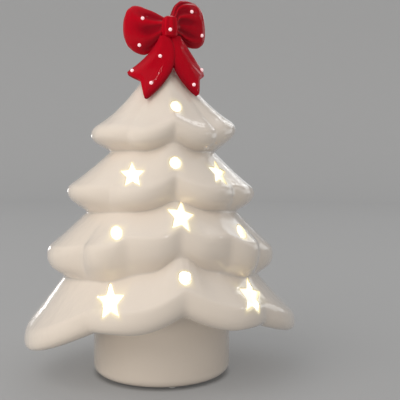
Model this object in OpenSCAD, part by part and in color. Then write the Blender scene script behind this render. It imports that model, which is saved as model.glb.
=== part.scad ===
// Ceramic christmas tree with cut-out stars, a red glazed bow and a battery light unit that plugs into its
// foot. Millimetres. The origin is the middle of the foot, on the table. +Z is up and the front faces -Y.

/* [Skirts] */
// Reach of the top skirt's side tips from the axis
top_skirt_r = 48; // [44:0.5:52]
// Reach of the second skirt's side tips
second_skirt_r = 62.3; // [58:0.1:67]
// Reach of the third skirt's side tips
third_skirt_r = 75.6; // [71:0.1:80]
// Reach of the bottom skirt's side tips
bottom_skirt_r = 90.4; // [86:0.1:95]
// Height of the top skirt's side tips
top_skirt_z = 159.7; // [156:0.1:163]
// Height of the second skirt's side tips
second_skirt_z = 120.1; // [117:0.1:123]
// Height of the third skirt's side tips
third_skirt_z = 79.1; // [76:0.1:82]
// Height of the bottom skirt's side tips
bottom_skirt_z = 28.5; // [26:0.1:31]
// Height where the cone ends in the narrow peg that carries the bow
cone_top_z = 207.5; // [203:0.5:212]
// Radius of the peg behind the bow
peg_r = 5.2; // [4.6:0.1:5.6]
// Height of the peg's round end
peg_z = 226; // [222:0.5:230]
// Thickness of the fired clay
wall = 4.5; // [3.5:0.1:5.5]

/* [Foot] */
// Radius of the trunk
trunk_r = 45.6; // [44.6:0.1:48]
// Rounding of the trunk's bottom edge
foot_edge_r = 6; // [4:0.5:6]
// Thickness of the clay floor that holds the light unit
floor_t = 5; // [4:0.5:6]
// Depth of the recess round the opening in the foot
recess_d = 5; // [4.6:0.1:6]
// Radius of the recess
recess_r = 35; // [34.6:0.1:36]
// Radius of the opening in the foot
opening_r = 33; // [32.4:0.1:33.4]
// Thickness of the bumpers under the foot
pad_t = 1; // [0.6:0.1:1.6]
// Radius of a bumper
pad_r = 2.1; // [1.5:0.1:2.2]

/* [Cut-outs] */
// Tip radius of the stars in the second skirt
second_star_r = 7.6; // [6:0.1:8]
// Tip radius of the star in the third skirt
third_star_r = 8.4; // [6.5:0.1:9]
// Tip radius of the stars in the bottom skirt
bottom_star_r = 8.8; // [7.5:0.1:10]
// Radius of the round holes
hole_r = 3.5; // [2.8:0.1:4]

/* [Bow] */
// Length of the left loop from the knot's middle to its round end
left_loop_len = 32; // [28:0.5:34]
// Length of the right loop from the knot's middle to its round end
right_loop_len = 29.5; // [26:0.5:32]
// Height of a loop at its widest
loop_h = 31; // [27:0.5:33]
// Thickness of a loop at its fullest
loop_t = 14; // [11:0.5:15]
// Height of the knot
knot_h = 14.5; // [13:0.5:17]
// Width of the knot
knot_w = 10.8; // [10:0.2:12]
// Thickness of the knot from front to back
knot_t = 13; // [12.5:0.1:14]
// Thickness of the ribbon tails
tail_t = 4.4; // [3.6:0.1:5]
// Radius of the raised enamel dots
dot_r = 1.15; // [0.8:0.05:1.4]

/* [Light unit] */
// Outer radius of the cup that stands in the foot
cup_r = 31.2; // [30.8:0.1:31.6]
// Wall of the cup and of the battery bay
cup_wall = 1.8; // [1.4:0.1:2.2]
// Thickness of the cup's flange
flange_t = 3.4; // [3.2:0.1:3.8]
// Height of the cup above its flange
cup_h = 19.5; // [18.5:0.5:22]
// Thickness of the cover on the cup
cover_t = 2.2; // [1.6:0.1:3]
// Outer radius of the frosted dome
dome_r = 15; // [14:0.5:16.5]
// Wall of the frosted dome
dome_wall = 1.2; // [0.8:0.1:1.8]
// Height of the dome's straight part
dome_h = 6; // [4.5:0.5:10]
// Radius of an LED
led_r = 2.5; // [1.5:0.1:3]
// Travel of the slide switch
switch_travel = 3; // [2:0.1:3.4]
// Thickness of the battery door
door_t = 1.6; // [1.2:0.1:1.8]

/* [Batteries] */
// Radius of a cell
cell_r = 5.2; // [4.8:0.05:5.25]
// Length of a cell's can
cell_len = 43.6; // [42:0.1:44]
// Length of a cell's positive nub
nub_len = 0.9; // [0.7:0.1:1.2]
// Radius of a cell's positive nub
nub_r = 1.9; // [1.5:0.1:2.5]
// Length of a contact spring, pressed in by its cell
spring_len = 4; // [3:0.1:5]
// Wire of a contact spring
spring_wire = 0.7; // [0.5:0.05:0.8]

/* [Hidden] */

// Overrun of every cut past the face it opens
over = 0.5;
// Gap between pieces that part or slide
gap = 0.3;
// Running gap round a pin and round the gasket
run = 0.05;

// The skirts from the top down: reach and height of the side tips
skirt_r = [top_skirt_r, second_skirt_r, third_skirt_r, bottom_skirt_r];
skirt_z = [top_skirt_z, second_skirt_z, third_skirt_z, bottom_skirt_z];

// The swags of each skirt between the front (0) and the side (90 degrees), the same at the back. Each row has
// the azimuth, 1 for the middle of a lobe or 0 for a crease, and shares of the skirt's reach: rim radius, rim
// height above the side tip, neck radius under the rim, and neck depth below the side tip.
swag_shares = [
    [[0, 0, 0.854, 0.069, 0.792, 0.119], [27, 1, 0.938, -0.087, 0.760, 0.265],
     [40.5, 0, 0.898, -0.062, 0.742, 0.258], [90, 1, 1, 0, 0.721, 0.271]],
    [[0, 0, 0.787, 0.135, 0.754, 0.026], [27, 1, 0.931, 0.011, 0.819, 0.154],
     [45, 0, 0.880, 0.016, 0.803, 0.170], [90, 1, 1, 0, 0.798, 0.202]],
    [[0, 0, 0.886, 0.270, 0.873, -0.164], [13.5, 1, 0.939, 0.177, 0.853, 0.034],
     [27, 0, 0.917, 0.177, 0.847, 0.067], [40.5, 1, 0.972, 0.091, 0.866, 0.127],
     [54, 0, 0.903, 0.073, 0.847, 0.140], [90, 1, 1, 0, 0.847, 0.169]],
    [[0, 0, 0.885, 0.365, 0.5, -0.254], [24, 1, 0.962, 0.238, 0.5, -0.232],
     [40.5, 0, 0.908, 0.222, 0.5, -0.232], [90, 1, 1, 0, 0.5, -0.199]]
];
// How far each skirt's right tip turns up and its left tip turns down, as a share of its reach
turn_shares = [0.040, -0.013, -0.013, 0.036];
// Where the slope between neck and rim passes, as shares of its run out and of its fall
via_shares = [[0.47, 0.68], [0.47, 0.53], [0.48, 0.53], [0.46, 0.50]];
// Roundness of the lip above and below the rim, as shares of the reach
lip_shares = [[0.083, 0.079], [0.051, 0.067], [0.061, 0.085], [0.072, 0.112]];
// Where the slope turns into the lip, as a share of the way from the slope's middle to the lip's corner
shoulder_share = 0.8;
// Where the lip turns into the straight underside, as a share of the way to the neck
tuck_share = 0.45;
// Sideways lean of the top skirt, as a share of its reach
lean_share = 0.03;

// Columns round the outside and the inside of the shell, and rows of each skirt's outside
outer_n = 80;
inner_n = 40;
slope_rows = 3;
lip_rows = 3;
under_rows = 1;

// Azimuth folded into the quarter between the front and the side
function fold(az) = let (m = (az % 360 + 360) % 360, a = m > 180 ? 360 - m : m) a > 90 ? 180 - a : a;

function row_before(rows, a, i = 0) =
    i >= len(rows) - 2 || a <= rows[i + 1][0] ? i : row_before(rows, a, i + 1);

// Quarter sine waves: level at the middle of a lobe and steep at a crease
function wave(rows, az, col) =
    let (a = fold(az), i = row_before(rows, a), p = rows[i], q = rows[i + 1],
         u = (a - p[0]) / (q[0] - p[0]), s = q[1] > p[1] ? sin(90 * u) : 1 - cos(90 * u))
    p[col] + (q[col] - p[col]) * s;

// Rise of the side tips, right up and left down
function tip_turn(t, az) =
    let (rows = swag_shares[t], from = rows[len(rows) - 2][0], u = max(0, (fold(az) - from) / (90 - from)))
    turn_shares[t] * sign(sin(az)) * sin(90 * u);

// [radius, height] of the rim of skirt t and of the neck under it
function rim(t, az) =
    skirt_r[t] * [wave(swag_shares[t], az, 2), wave(swag_shares[t], az, 3) + tip_turn(t, az)]
    + [0, skirt_z[t]];
function neck(t, az) =
    t < 0 ? [peg_r, cone_top_z]
          : [t == 3 ? trunk_r : skirt_r[t] * wave(swag_shares[t], az, 4),
             skirt_z[t] - skirt_r[t] * wave(swag_shares[t], az, 5)];

// The middle of the slope over the rim, where the creases have half faded
fade = 8;
function slope_middle(t, az) =
    let (p = neck(t - 1, az), e = (rim(t, az - fade) + 2 * rim(t, az) + rim(t, az + fade)) / 4)
    [p[0] + (e[0] - p[0]) * via_shares[t][0],
     p[1] + (e[1] + lip_shares[t][0] * skirt_r[t] - p[1]) * via_shares[t][1]];

// Quadratic curve from a to c, drawn towards b
function curve(a, b, c, u) = a * (1 - u) * (1 - u) + b * 2 * u * (1 - u) + c * u * u;

// One skirt's profile from the neck above to the neck below: slope, upper lip, lower lip and underside
function skirt_profile(t, az, slope_n, lip_n, under_n) =
    let (p = neck(t - 1, az), e = rim(t, az), q = neck(t, az),
         corner = e + [0, lip_shares[t][0] * skirt_r[t]],
         low = e - [0, lip_shares[t][1] * skirt_r[t]],
         via = slope_middle(t, az),
         shoulder = via + (corner - via) * shoulder_share,
         tuck = low + (q - low) * tuck_share)
    concat([for (i = [1:slope_n]) curve(p, via, shoulder, i / slope_n)],
           [for (i = [1:lip_n]) curve(shoulder, corner, e, i / lip_n)],
           [for (i = [1:lip_n]) curve(e, low, tuck, i / lip_n)],
           [for (i = [1:under_n]) tuck + (q - tuck) * i / under_n]);

// A point of the shell at an azimuth, with the top skirt's lean
function lean(z) =
    let (u = (cone_top_z - z) / (cone_top_z - neck(0, 90)[1]))
    u > 0 && u < 1 ? lean_share * top_skirt_r * sin(180 * u) : 0;
function place(p, az) = [p[0] * sin(az) + lean(p[1]), -p[0] * cos(az), p[1]];

// A closed skin through rings of n points between two poles, the first pole on top
function skin_faces(rings, n) = concat(
    [for (j = [0:n - 1]) [0, 1 + (j + 1) % n, 1 + j]],
    [for (i = [0:rings - 2], j = [0:n - 1])
        let (a = 1 + i * n + j, b = 1 + i * n + (j + 1) % n) each [[a, b, b + n], [a, b + n, a + n]]],
    [for (j = [0:n - 1])
        let (a = 1 + (rings - 1) * n) [a + n, a + j, a + (j + 1) % n]]);

module skin(columns, top, bottom) {
    n = len(columns);
    rings = len(columns[0]);
    points = concat([top], [for (i = [0:rings - 1], j = [0:n - 1]) columns[j][i]], [bottom]);
    polyhedron(points, skin_faces(rings, n), convexity = 10);
}

// Round end of the peg as shares of its radius: radius, and height below the top
peg_shares = [[0.62, 0.22], [0.92, 0.62], [1, 1.2]];
foot_z = pad_t;
foot_steps = 3;

module shell_outside() {
    columns = [for (j = [0:outer_n - 1])
        let (az = 360 * j / outer_n)
        concat([for (s = peg_shares) place([s[0] * peg_r, peg_z - s[1] * peg_r], az)],
               [place(neck(-1, az), az)],
               [for (t = [0:3], p = skirt_profile(t, az, slope_rows, lip_rows, under_rows)) place(p, az)],
               [for (i = [0:foot_steps])
                   let (a = 90 * i / foot_steps)
                   place([trunk_r - foot_edge_r * (1 - cos(a)), foot_z + foot_edge_r * (1 - sin(a))], az)])];
    skin(columns, [0, 0, peg_z], [0, 0, foot_z]);
}

// The hollow inside: a plainer profile of the same skirts, each corner drawn in until its sides lie one wall
// deep
floor_z = foot_z + recess_d + floor_t;
hollow_top_z = cone_top_z - (wall * sqrt(2) - peg_r);

function plain_profile(t, az) =
    let (p = neck(t - 1, az), e = rim(t, az),
         corner = e + [0, lip_shares[t][0] * skirt_r[t]],
         via = slope_middle(t, az))
    [curve(p, via, via + (corner - via) * shoulder_share, 1 / 2), corner,
     e - [0, lip_shares[t][1] * skirt_r[t]], neck(t, az)];

function inward(a, b) = let (d = (b - a) / norm(b - a)) [d[1], -d[0]];
function draw_in(a, b, c) = let (m = inward(a, b), n = inward(b, c)) b + wall * (m + n) / (1 + m * n);

module shell_inside() {
    columns = [for (j = [0:inner_n - 1])
        let (az = 360 * j / inner_n,
             line = concat([neck(-1, az)], [for (t = [0:3]) each plain_profile(t, az)],
                           [[trunk_r, floor_z]]))
        concat([for (i = [1:len(line) - 2]) place(draw_in(line[i - 1], line[i], line[i + 1]), az)],
               [place([trunk_r - wall, floor_z], az)])];
    skin(columns, [0, 0, hollow_top_z], [0, 0, floor_z]);
}

// Cut-outs: the skirt of each, the direction of the knife, shares of that skirt's reach for the place to the
// right of the middle and for the height above the side tips, and a star's tilt
star_shares = [[1, -8, -0.312, 0.200, -2], [1, 10, 0.358, 0.216, 12], [2, -2, 0.044, 0.386, 12],
               [3, -13, -0.279, 0.359, -10], [3, -1, 0.485, 0.355, 17]];
hole_shares = [[0, 0, 0.076, 0.317], [1, 0, 0.006, 0.317], [2, -8, -0.378, 0.263], [2, 5, 0.485, 0.248],
               [3, 0, 0.007, 0.511]];
// The top skirt has no star
star_r = [0, second_star_r, third_star_r, bottom_star_r];
star_waist_share = 0.46;
hole_sides = 24;
// Where a cut starts inside the hollow, as a share of the cone's height
core_share = 0.1;

function star_points(r) =
    [for (k = [0:9]) (k % 2 == 0 ? r : r * star_waist_share) * [sin(36 * k), cos(36 * k)]];

module at_cut(cut, from) {
    rotate([0, 0, cut[1]])
        translate([cut[2] * skirt_r[cut[0]], -from, skirt_z[cut[0]] + cut[3] * skirt_r[cut[0]]])
        rotate([90, 0, 0]) children();
}

module cut_outs() {
    reach = bottom_skirt_r;
    core = core_share * cone_top_z;
    for (cut = star_shares) {
        at_cut(cut, core) rotate([0, 0, -cut[4]])
            linear_extrude(height = reach) polygon(star_points(star_r[cut[0]]));
    }
    for (cut = hole_shares) {
        at_cut(cut, core) cylinder(r = hole_r, h = reach, $fn = hole_sides);
    }
}

module tree_body() {
    color("ivory")
    difference() {
        shell_outside();
        shell_inside();
        cut_outs();
        translate([0, 0, foot_z - over]) cylinder(r = recess_r, h = recess_d + over, $fn = 96);
        translate([0, 0, foot_z]) cylinder(r = opening_r, h = recess_d + floor_t + over, $fn = 96);
    }
}

// Bumpers on the middle of the flat ring under the foot
pad_ring_r = (recess_r + trunk_r - foot_edge_r) / 2;

module foot_pads() {
    color("whitesmoke")
    for (a = [0:90:270]) {
        rotate([0, 0, a]) translate([pad_ring_r, 0, 0]) cylinder(r = pad_r, h = pad_t, $fn = 32);
    }
}

// The bow sits a little right of the axis, with its knot in front of the peg
bow_x = 2.7;
knot_z = 226.6;
// How far luted pieces are pressed into each other
luting = 0.6;
knot_y = -peg_r - knot_t / 2 + luting;
// Turn of the loops back round the cone and the right one's rise towards its end, degrees
left_sweep = 31;
right_sweep = 33;
right_lift = 9;

// A loop is a closed sack along +X. Rows: share of the length, of the height, of the thickness, rise of the
// middle
left_shares = [[0.10, 0.40, 0.62, 0], [0.20, 0.56, 0.60, -0.02], [0.34, 0.80, 0.80, -0.06],
               [0.50, 0.96, 0.96, -0.07], [0.68, 1, 1, -0.02], [0.83, 0.89, 0.92, 0.02],
               [0.94, 0.62, 0.66, 0.03], [0.985, 0.30, 0.36, 0.03]];
right_shares = [[0.10, 0.42, 0.62, 0.04], [0.20, 0.64, 0.60, 0.09], [0.34, 0.88, 0.78, 0.08],
                [0.50, 0.98, 0.94, 0.05], [0.68, 0.98, 1, 0.02], [0.83, 0.90, 0.94, 0],
                [0.94, 0.68, 0.68, -0.01], [0.985, 0.34, 0.36, -0.02]];
loop_n = 24;
// Depth of the pleats at the knot and how many there are round a loop
pleat_share = 0.09;
pleats = 6;
// Where a loop starts inside the knot, as a share of its length
root_share = 0.08;

function loop_point(row, len, a) =
    let (pleat = 1 + pleat_share * (1 - row[0]) * cos(pleats * a))
    [row[0] * len, pleat * row[2] * loop_t / 2 * cos(a),
     (pleat * row[1] / 2 * sin(a) + row[3]) * loop_h];

module loop(shares, len) {
    columns = [for (j = [0:loop_n - 1]) [for (row = shares) loop_point(row, len, -360 * j / loop_n)]];
    skin(columns, [root_share * len, 0, 0], [len, 0, shares[len(shares) - 1][3] * loop_h]);
}

module at_right_loop() {
    translate([bow_x, knot_y, knot_z]) rotate([0, 0, right_sweep]) rotate([0, -right_lift, 0]) children();
}

module at_left_loop() {
    translate([bow_x, knot_y, knot_z]) mirror([1, 0, 0]) rotate([0, 0, left_sweep]) children();
}

module bow_loop_right() {
    color("firebrick") at_right_loop() loop(right_shares, right_loop_len);
}

module bow_loop_left() {
    color("firebrick") at_left_loop() loop(left_shares, left_loop_len);
}

// The knot: a pinched band of ribbon, round at top and bottom. Rows: share of the width, share of the height
knot_shares = [[0.58, 0.47], [0.84, 0.40], [0.96, 0.21], [1, 0], [0.97, -0.21], [0.88, -0.39],
               [0.62, -0.47]];
knot_n = 20;

module bow_knot() {
    color("firebrick")
    translate([bow_x, knot_y, knot_z])
    skin([for (j = [0:knot_n - 1])
              let (x = knot_w / 2 * sin(360 * j / knot_n), y = knot_t / 2 * cos(360 * j / knot_n))
              [for (row = knot_shares) [row[0] * x, -row[0] * y, row[1] * knot_h]]],
         [0, 0, knot_h / 2], [0, 0, -knot_h / 2]);
}

// Each tail is a ribbon between an inner and an outer edge. An edge is a curve from the knot, drawn towards a
// middle point, to a tip. The lower tips lie on the cone and the outer tips stand free of it.
left_inner = [[2, -13, 221], [16, -12.5, 203], [-15.8, -23.8, 178]];
left_outer = [[-4, -11.5, 221], [-9, -11, 208], [-25.2, -6, 197]];
right_inner = [[3, -12, 221], [-2, -14, 201], [20.2, -18.6, 181.2]];
right_outer = [[9.5, -10.5, 221], [16.3, -10, 211.5], [28, 0, 198]];
// Depth of the swallowtail notch and rounding of the tips, as shares of the tail's length
notch_share = 0.09;
tip_share = 0.04;
tip_power = 10;
// Bulge of the ribbon across its width
tail_bulge = 1.6;
edge_share = 0.4;
tail_across = 8;
tail_along = 7;

function unit(v) = v / norm(v);
function on_edge(edge, u) = curve(edge[0], edge[1], edge[2], u);
function tail_at(inner, outer, u, w) =
    let (long = u * (1 - notch_share * (1 - abs(w)) - tip_share * pow(abs(w), tip_power)),
         p = on_edge(inner, long), q = on_edge(outer, long))
    (p + q) / 2 + (q - p) / 2 * w;
// Forward direction at right angles to the ribbon at u
small_step = 0.01;
function tail_normal(inner, outer, u) =
    let (a = u + small_step, b = u - small_step,
         along = on_edge(inner, a) + on_edge(outer, a) - on_edge(inner, b) - on_edge(outer, b),
         n = unit(cross(along, on_edge(outer, u) - on_edge(inner, u))))
    n[1] < 0 ? n : -n;
function tail_side(inner, outer, u, w, side) =
    tail_normal(inner, outer, u) * (tail_bulge * (1 - w * w) * sin(90 * u)
        + side * tail_t / 2 * (abs(w) == 1 ? edge_share : 1) * (u == 1 ? edge_share : 1));
function tail_skin(inner, outer, u, w, side) =
    tail_at(inner, outer, u, w) + tail_side(inner, outer, u, w, side);

// Ring round the ribbon, over its front from edge to edge and back under it
function tail_ring(inner, outer, u) = concat(
    [for (i = [0:tail_across]) tail_skin(inner, outer, u, 2 * i / tail_across - 1, 1)],
    [for (i = [0:tail_across]) tail_skin(inner, outer, u, 1 - 2 * i / tail_across, -1)]);

module tail(inner, outer, turn) {
    rings = [for (k = [0:tail_along]) tail_ring(inner, outer, k / tail_along)];
    n = len(rings[0]);
    columns = [for (j = [0:n - 1]) [for (ring = rings) ring[turn ? n - 1 - j : j]]];
    skin(columns, tail_skin(inner, outer, 0, 0, 0), tail_skin(inner, outer, 1, 0, 0));
}

module bow_tail_right() {
    color("firebrick") tail(right_inner, right_outer, false);
}

module bow_tail_left() {
    color("firebrick") tail(left_inner, left_outer, true);
}

// Raised enamel dots. On a loop: row of its table of shares and angle round it. On a tail: shares along and
// across it. On the knot: shares of its width and height from the middle of its face.
left_loop_dot_shares = [[3.1, 151], [3.5, 217]];
right_loop_dot_shares = [[3.2, 152], [4.5, 205]];
left_tail_dot_shares = [[0.49, 0.1], [0.93, 0.74], [0.88, -0.6]];
right_tail_dot_shares = [[0.88, 0.7], [0.88, -0.74]];
knot_dot_shares = [-0.083, -0.166];

function between(rows, i) =
    let (k = floor(i)) rows[k] + (rows[min(k + 1, len(rows) - 1)] - rows[k]) * (i - k);

module bow_dots() {
    color("white") {
        translate([bow_x + knot_dot_shares[0] * knot_w, knot_y - knot_t / 2,
                   knot_z + knot_dot_shares[1] * knot_h]) dot();
        at_left_loop() for (d = left_loop_dot_shares)
            translate(loop_point(between(left_shares, d[0]), left_loop_len, d[1])) dot();
        at_right_loop() for (d = right_loop_dot_shares)
            translate(loop_point(between(right_shares, d[0]), right_loop_len, d[1])) dot();
        for (d = left_tail_dot_shares) translate(tail_skin(left_inner, left_outer, d[0], d[1], 1)) dot();
        for (d = right_tail_dot_shares) translate(tail_skin(right_inner, right_outer, d[0], d[1], 1)) dot();
    }
}

module dot() {
    sphere(r = dot_r, $fn = 24);
}

// Light unit, from the flange up
flange_r = recess_r - gap;
flange_top_z = foot_z + recess_d - gap;
flange_z = flange_top_z - flange_t;
cup_top_z = flange_top_z + cup_h;
cup_in_r = cup_r - cup_wall;

// Battery bay across the cup: two cells side by side, lying along X, head to tail
cell_gap = 1;
cell_y = cell_r + cell_gap / 2;
plate_t = 0.4;
plate_w = 8;
tab_w = 3;
tab_h = 1.6;
bay_x = -1.2;
bay_len = cell_len + nub_len + spring_len + 2 * plate_t;
bay_x0 = bay_x - bay_len / 2;
bay_x1 = bay_x + bay_len / 2;
bay_y = 2 * cell_r + cell_gap;
bay_wall = 1.3;
door_top_z = flange_z + door_t;
rib_h = 0.4;
rib_w = 1.2;
rib_len = 29;
cell_z = door_top_z + rib_h + gap + cell_r;
bay_top_z = cell_z + cell_r + 2 * gap;
ceiling_z = bay_top_z + bay_wall;
tab_z = ceiling_z + tab_h;

// Door: a plate on a pin at its -X end, with a tongue for the thumb at its +X end
ledge_w = 1.6;
door_x0 = bay_x0 - ledge_w;
door_x1 = bay_x1 + ledge_w;
door_y = bay_y + ledge_w;
pin_r = 0.8;
pin_half = 7.5;
arm_half = 6;
barrel_r = 1.3;
pin_gap = 2.2;
pin_x = door_x0 - pin_gap;
pin_z = flange_z + barrel_r;
// Room behind the door's hinged end, where its corner swings down
swing_gap = 0.8;
tongue_half = 4.5;
tongue_len = 3.4;
thumb_r = 4;
thumb_d = 1.3;

// Cover screws and their bosses
screw_at = [16, 21.5];
boss_r = 2.8;
screw_r = 0.85;
screw_len = 7;
head_r = 2;
head_h = 1.2;
cross_d = 0.6;
cross_w = 0.5;
cross_share = 0.65;

// Slide switch on the flange, beside the bay
switch_y = -19.5;
knob_w = 3.4;
knob_t = 2.4;
knob_reach = 1.1;
slider_w = 5;
slider_t = 4;
slider_h = 1.4;
switch_wall = 1.4;
switch_h = 5;
pin_terminal_w = 0.8;
pin_terminal_h = 2;

// A box between two corners
module block(a, b) {
    translate(a) cube(b - a);
}

module disc(r, z0, z1) {
    translate([0, 0, z0]) cylinder(r = r, h = z1 - z0, $fn = 96);
}

module at_screws() {
    for (sx = [-1, 1], sy = [-1, 1]) {
        translate([sx * screw_at[0], sy * screw_at[1], 0]) children();
    }
}

module light_base() {
    color("gainsboro")
    difference() {
        union() {
            disc(flange_r, flange_z, flange_top_z);
            difference() {
                disc(cup_r, flange_z, cup_top_z);
                disc(cup_in_r, flange_top_z, cup_top_z + over);
            }
            block([bay_x0 - bay_wall, -bay_y - bay_wall, flange_z],
                  [bay_x1 + bay_wall, bay_y + bay_wall, ceiling_z]);
            at_screws() translate([0, 0, flange_z]) cylinder(r = boss_r, h = cup_top_z - flange_z, $fn = 32);
        }
        bay_cuts();
        door_cuts();
        at_screws() {
            translate([0, 0, cup_top_z - screw_len])
                cylinder(r = screw_r + run, h = screw_len + over, $fn = 32);
        }
        block([-knob_w / 2 - gap, switch_y - knob_t / 2 - gap, flange_z - over],
              [switch_travel + knob_w / 2 + gap, switch_y + knob_t / 2 + gap, flange_top_z + over]);
    }
}

// The bay's hollow and the slots in its ceiling for the contacts' solder tabs
module bay_cuts() {
    block([bay_x0, -bay_y, flange_z - over], [bay_x1, bay_y, bay_top_z]);
    for (sy = [-1, 1]) {
        block([bay_x0, sy * cell_y - tab_w / 2 - gap, bay_top_z - over],
              [bay_x0 + plate_t + gap, sy * cell_y + tab_w / 2 + gap, ceiling_z + over]);
    }
}

// Room for the door, its arm and pin, its tongue and a thumb
module door_cuts() {
    block([door_x0 - swing_gap, -door_y - gap, flange_z - over],
          [door_x1 + gap, door_y + gap, door_top_z + gap]);
    block([pin_x - barrel_r - gap, -arm_half - gap, flange_z - over],
          [door_x0, arm_half + gap, pin_z + barrel_r + gap]);
    translate([pin_x, pin_half + gap, pin_z]) rotate([90, 0, 0])
        cylinder(r = pin_r + run, h = 2 * (pin_half + gap), $fn = 32);
    block([door_x1, -tongue_half - gap, flange_z - over],
          [door_x1 + tongue_len + gap, tongue_half + gap, door_top_z + gap]);
    translate([door_x1 + tongue_len, 0, flange_z - over]) cylinder(r = thumb_r, h = thumb_d + over, $fn = 48);
}

module battery_door() {
    color("gainsboro")
    union() {
        block([door_x0, -door_y, flange_z], [door_x1, door_y, door_top_z]);
        block([pin_x, -arm_half, flange_z], [door_x0, arm_half, door_top_z]);
        translate([pin_x, arm_half, pin_z]) rotate([90, 0, 0])
            cylinder(r = barrel_r, h = 2 * arm_half, $fn = 32);
        translate([pin_x, pin_half, pin_z]) rotate([90, 0, 0])
            cylinder(r = pin_r, h = 2 * pin_half, $fn = 32);
        block([door_x1, -tongue_half, flange_z], [door_x1 + tongue_len, tongue_half, door_top_z]);
        for (sy = [-1, 1]) {
            block([bay_x - rib_len / 2, sy * cell_y - rib_w / 2, door_top_z - over],
                  [bay_x + rib_len / 2, sy * cell_y + rib_w / 2, door_top_z + rib_h]);
        }
    }
}

// Silicone ring with two lips that grips the opening in the foot
gasket_t = 0.9;
lip_h = 0.8;

// Its profile from the bottom inner corner round, with a lip near the bottom and another near the top
module base_gasket() {
    color("white")
    rotate_extrude($fn = 96) {
        r0 = cup_r;
        r1 = cup_r + gasket_t;
        r2 = opening_r - run;
        z0 = foot_z + recess_d + gap;
        z1 = floor_z - gap;
        polygon([[r0, z0], [r1, z0], [r2, z0 + lip_h / 2], [r2, z0 + lip_h], [r1, z0 + 2 * lip_h],
                 [r1, z1 - 2 * lip_h], [r2, z1 - lip_h], [r2, z1 - lip_h / 2], [r1, z1], [r0, z1]]);
    }
}

// Cover: a disc with a collar for the dome, a hole for the wires and three posts for the board
cover_z = cup_top_z + cover_t;
wire_hole_r = 4;
dome_foot_w = 2;
dome_foot_r = dome_r + dome_foot_w;
dome_foot_t = 1.2;
collar_t = 1.5;
collar_h = 2;
post_h = 1.5;
post_r = 1.6;
board_r = 12;
board_t = 1.6;
post_ring_r = 9;
board_z = cover_z + post_h;

module light_cover() {
    color("gainsboro")
    difference() {
        union() {
            disc(cup_r, cup_top_z, cover_z);
            disc(dome_foot_r + gap + collar_t, cup_top_z, cover_z + collar_h);
        }
        disc(dome_foot_r + gap, cover_z, cover_z + collar_h + over);
        disc(wire_hole_r, cup_top_z - over, cover_z + over);
        at_screws() translate([0, 0, cup_top_z - over])
            cylinder(r = screw_r + run, h = cover_t + 2 * over, $fn = 32);
    }
    color("gainsboro")
    for (a = [60:120:300]) {
        rotate([0, 0, a]) translate([post_ring_r, 0, cover_z]) cylinder(r = post_r, h = post_h, $fn = 24);
    }
}

module cover_screws() {
    color("silver")
    at_screws() {
        difference() {
            union() {
                translate([0, 0, cover_z]) cylinder(r = head_r, h = head_h, $fn = 32);
                translate([0, 0, cover_z - screw_len])
                    cylinder(r = screw_r, h = screw_len + head_h / 2, $fn = 32);
            }
            for (a = [0, 90]) {
                translate([0, 0, cover_z + head_h]) rotate([0, 0, a])
                    cube([2 * cross_share * head_r, cross_w, 2 * cross_d], center = true);
            }
        }
    }
}

module led_board() {
    color("darkgreen")
    disc(board_r, board_z, board_z + board_t);
}

// Three warm LEDs, bullet-shaped, on the board
led_ring_r = 5.5;
led_h = 4.5;
led_rim_share = 1.14;
led_rim_h = 1.1;

module leds() {
    color("lightyellow")
    for (a = [0:120:240]) {
        rotate([0, 0, a]) translate([led_ring_r, 0, board_z + board_t]) {
            rotate_extrude($fn = 32) intersection() {
                union() {
                    square([led_r * led_rim_share, led_rim_h]);
                    square([led_r, led_h]);
                    translate([0, led_h]) circle(r = led_r, $fn = 32);
                }
                square([2 * led_r, led_h + led_r]);
            }
        }
    }
}

// Frosted dome over the LEDs: a foot ring, a straight part and a half sphere
dome_steps = 12;
function dome_arc(r, i) =
    let (a = 90 * i / dome_steps) [0, dome_h] + r * (i == dome_steps ? [0, 1] : [cos(a), sin(a)]);

module light_dome() {
    color("white")
    translate([0, 0, cover_z]) rotate_extrude($fn = 64)
        polygon(concat([[dome_foot_r, 0], [dome_foot_r, dome_foot_t], [dome_r, dome_foot_t]],
                       [for (i = [0:dome_steps]) dome_arc(dome_r, i)],
                       [for (i = [dome_steps:-1:0]) dome_arc(dome_r - dome_wall, i)],
                       [[dome_r - dome_wall, 0]]));
}

// Slide switch: a case with the slider inside and three solder pins on top
case_x0 = -slider_w / 2 - gap - switch_wall;
case_x1 = switch_travel + slider_w / 2 + gap + switch_wall;
case_y = slider_t / 2 + gap + switch_wall / 2;
case_top_z = flange_top_z + switch_h;
terminal_top_z = case_top_z + pin_terminal_h;
terminal_x = [case_x0 + switch_wall, (case_x0 + case_x1) / 2, case_x1 - switch_wall];

module switch_case() {
    color("dimgray")
    difference() {
        block([case_x0, switch_y - case_y, flange_top_z], [case_x1, switch_y + case_y, case_top_z]);
        block([case_x0 + switch_wall, switch_y - slider_t / 2 - gap, flange_top_z - over],
              [case_x1 - switch_wall, switch_y + slider_t / 2 + gap, flange_top_z + slider_h + 2 * gap]);
    }
    color("silver")
    for (x = terminal_x) {
        block([x - pin_terminal_w / 2, switch_y - pin_terminal_w, case_top_z],
              [x + pin_terminal_w / 2, switch_y + pin_terminal_w, terminal_top_z]);
    }
}

module switch_knob() {
    color("black")
    union() {
        block([-slider_w / 2, switch_y - slider_t / 2, flange_top_z + gap],
              [slider_w / 2, switch_y + slider_t / 2, flange_top_z + gap + slider_h]);
        block([-knob_w / 2, switch_y - knob_t / 2, flange_z - knob_reach],
              [knob_w / 2, switch_y + knob_t / 2, flange_top_z + gap + slider_h / 2]);
    }
}

// A cell that starts at x, with its nub towards +X
module cell(x, y) {
    translate([x, y, cell_z]) rotate([0, 90, 0]) {
        cylinder(r = cell_r, h = cell_len, $fn = 48);
        cylinder(r = nub_r, h = cell_len + nub_len, $fn = 32);
    }
}

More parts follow.
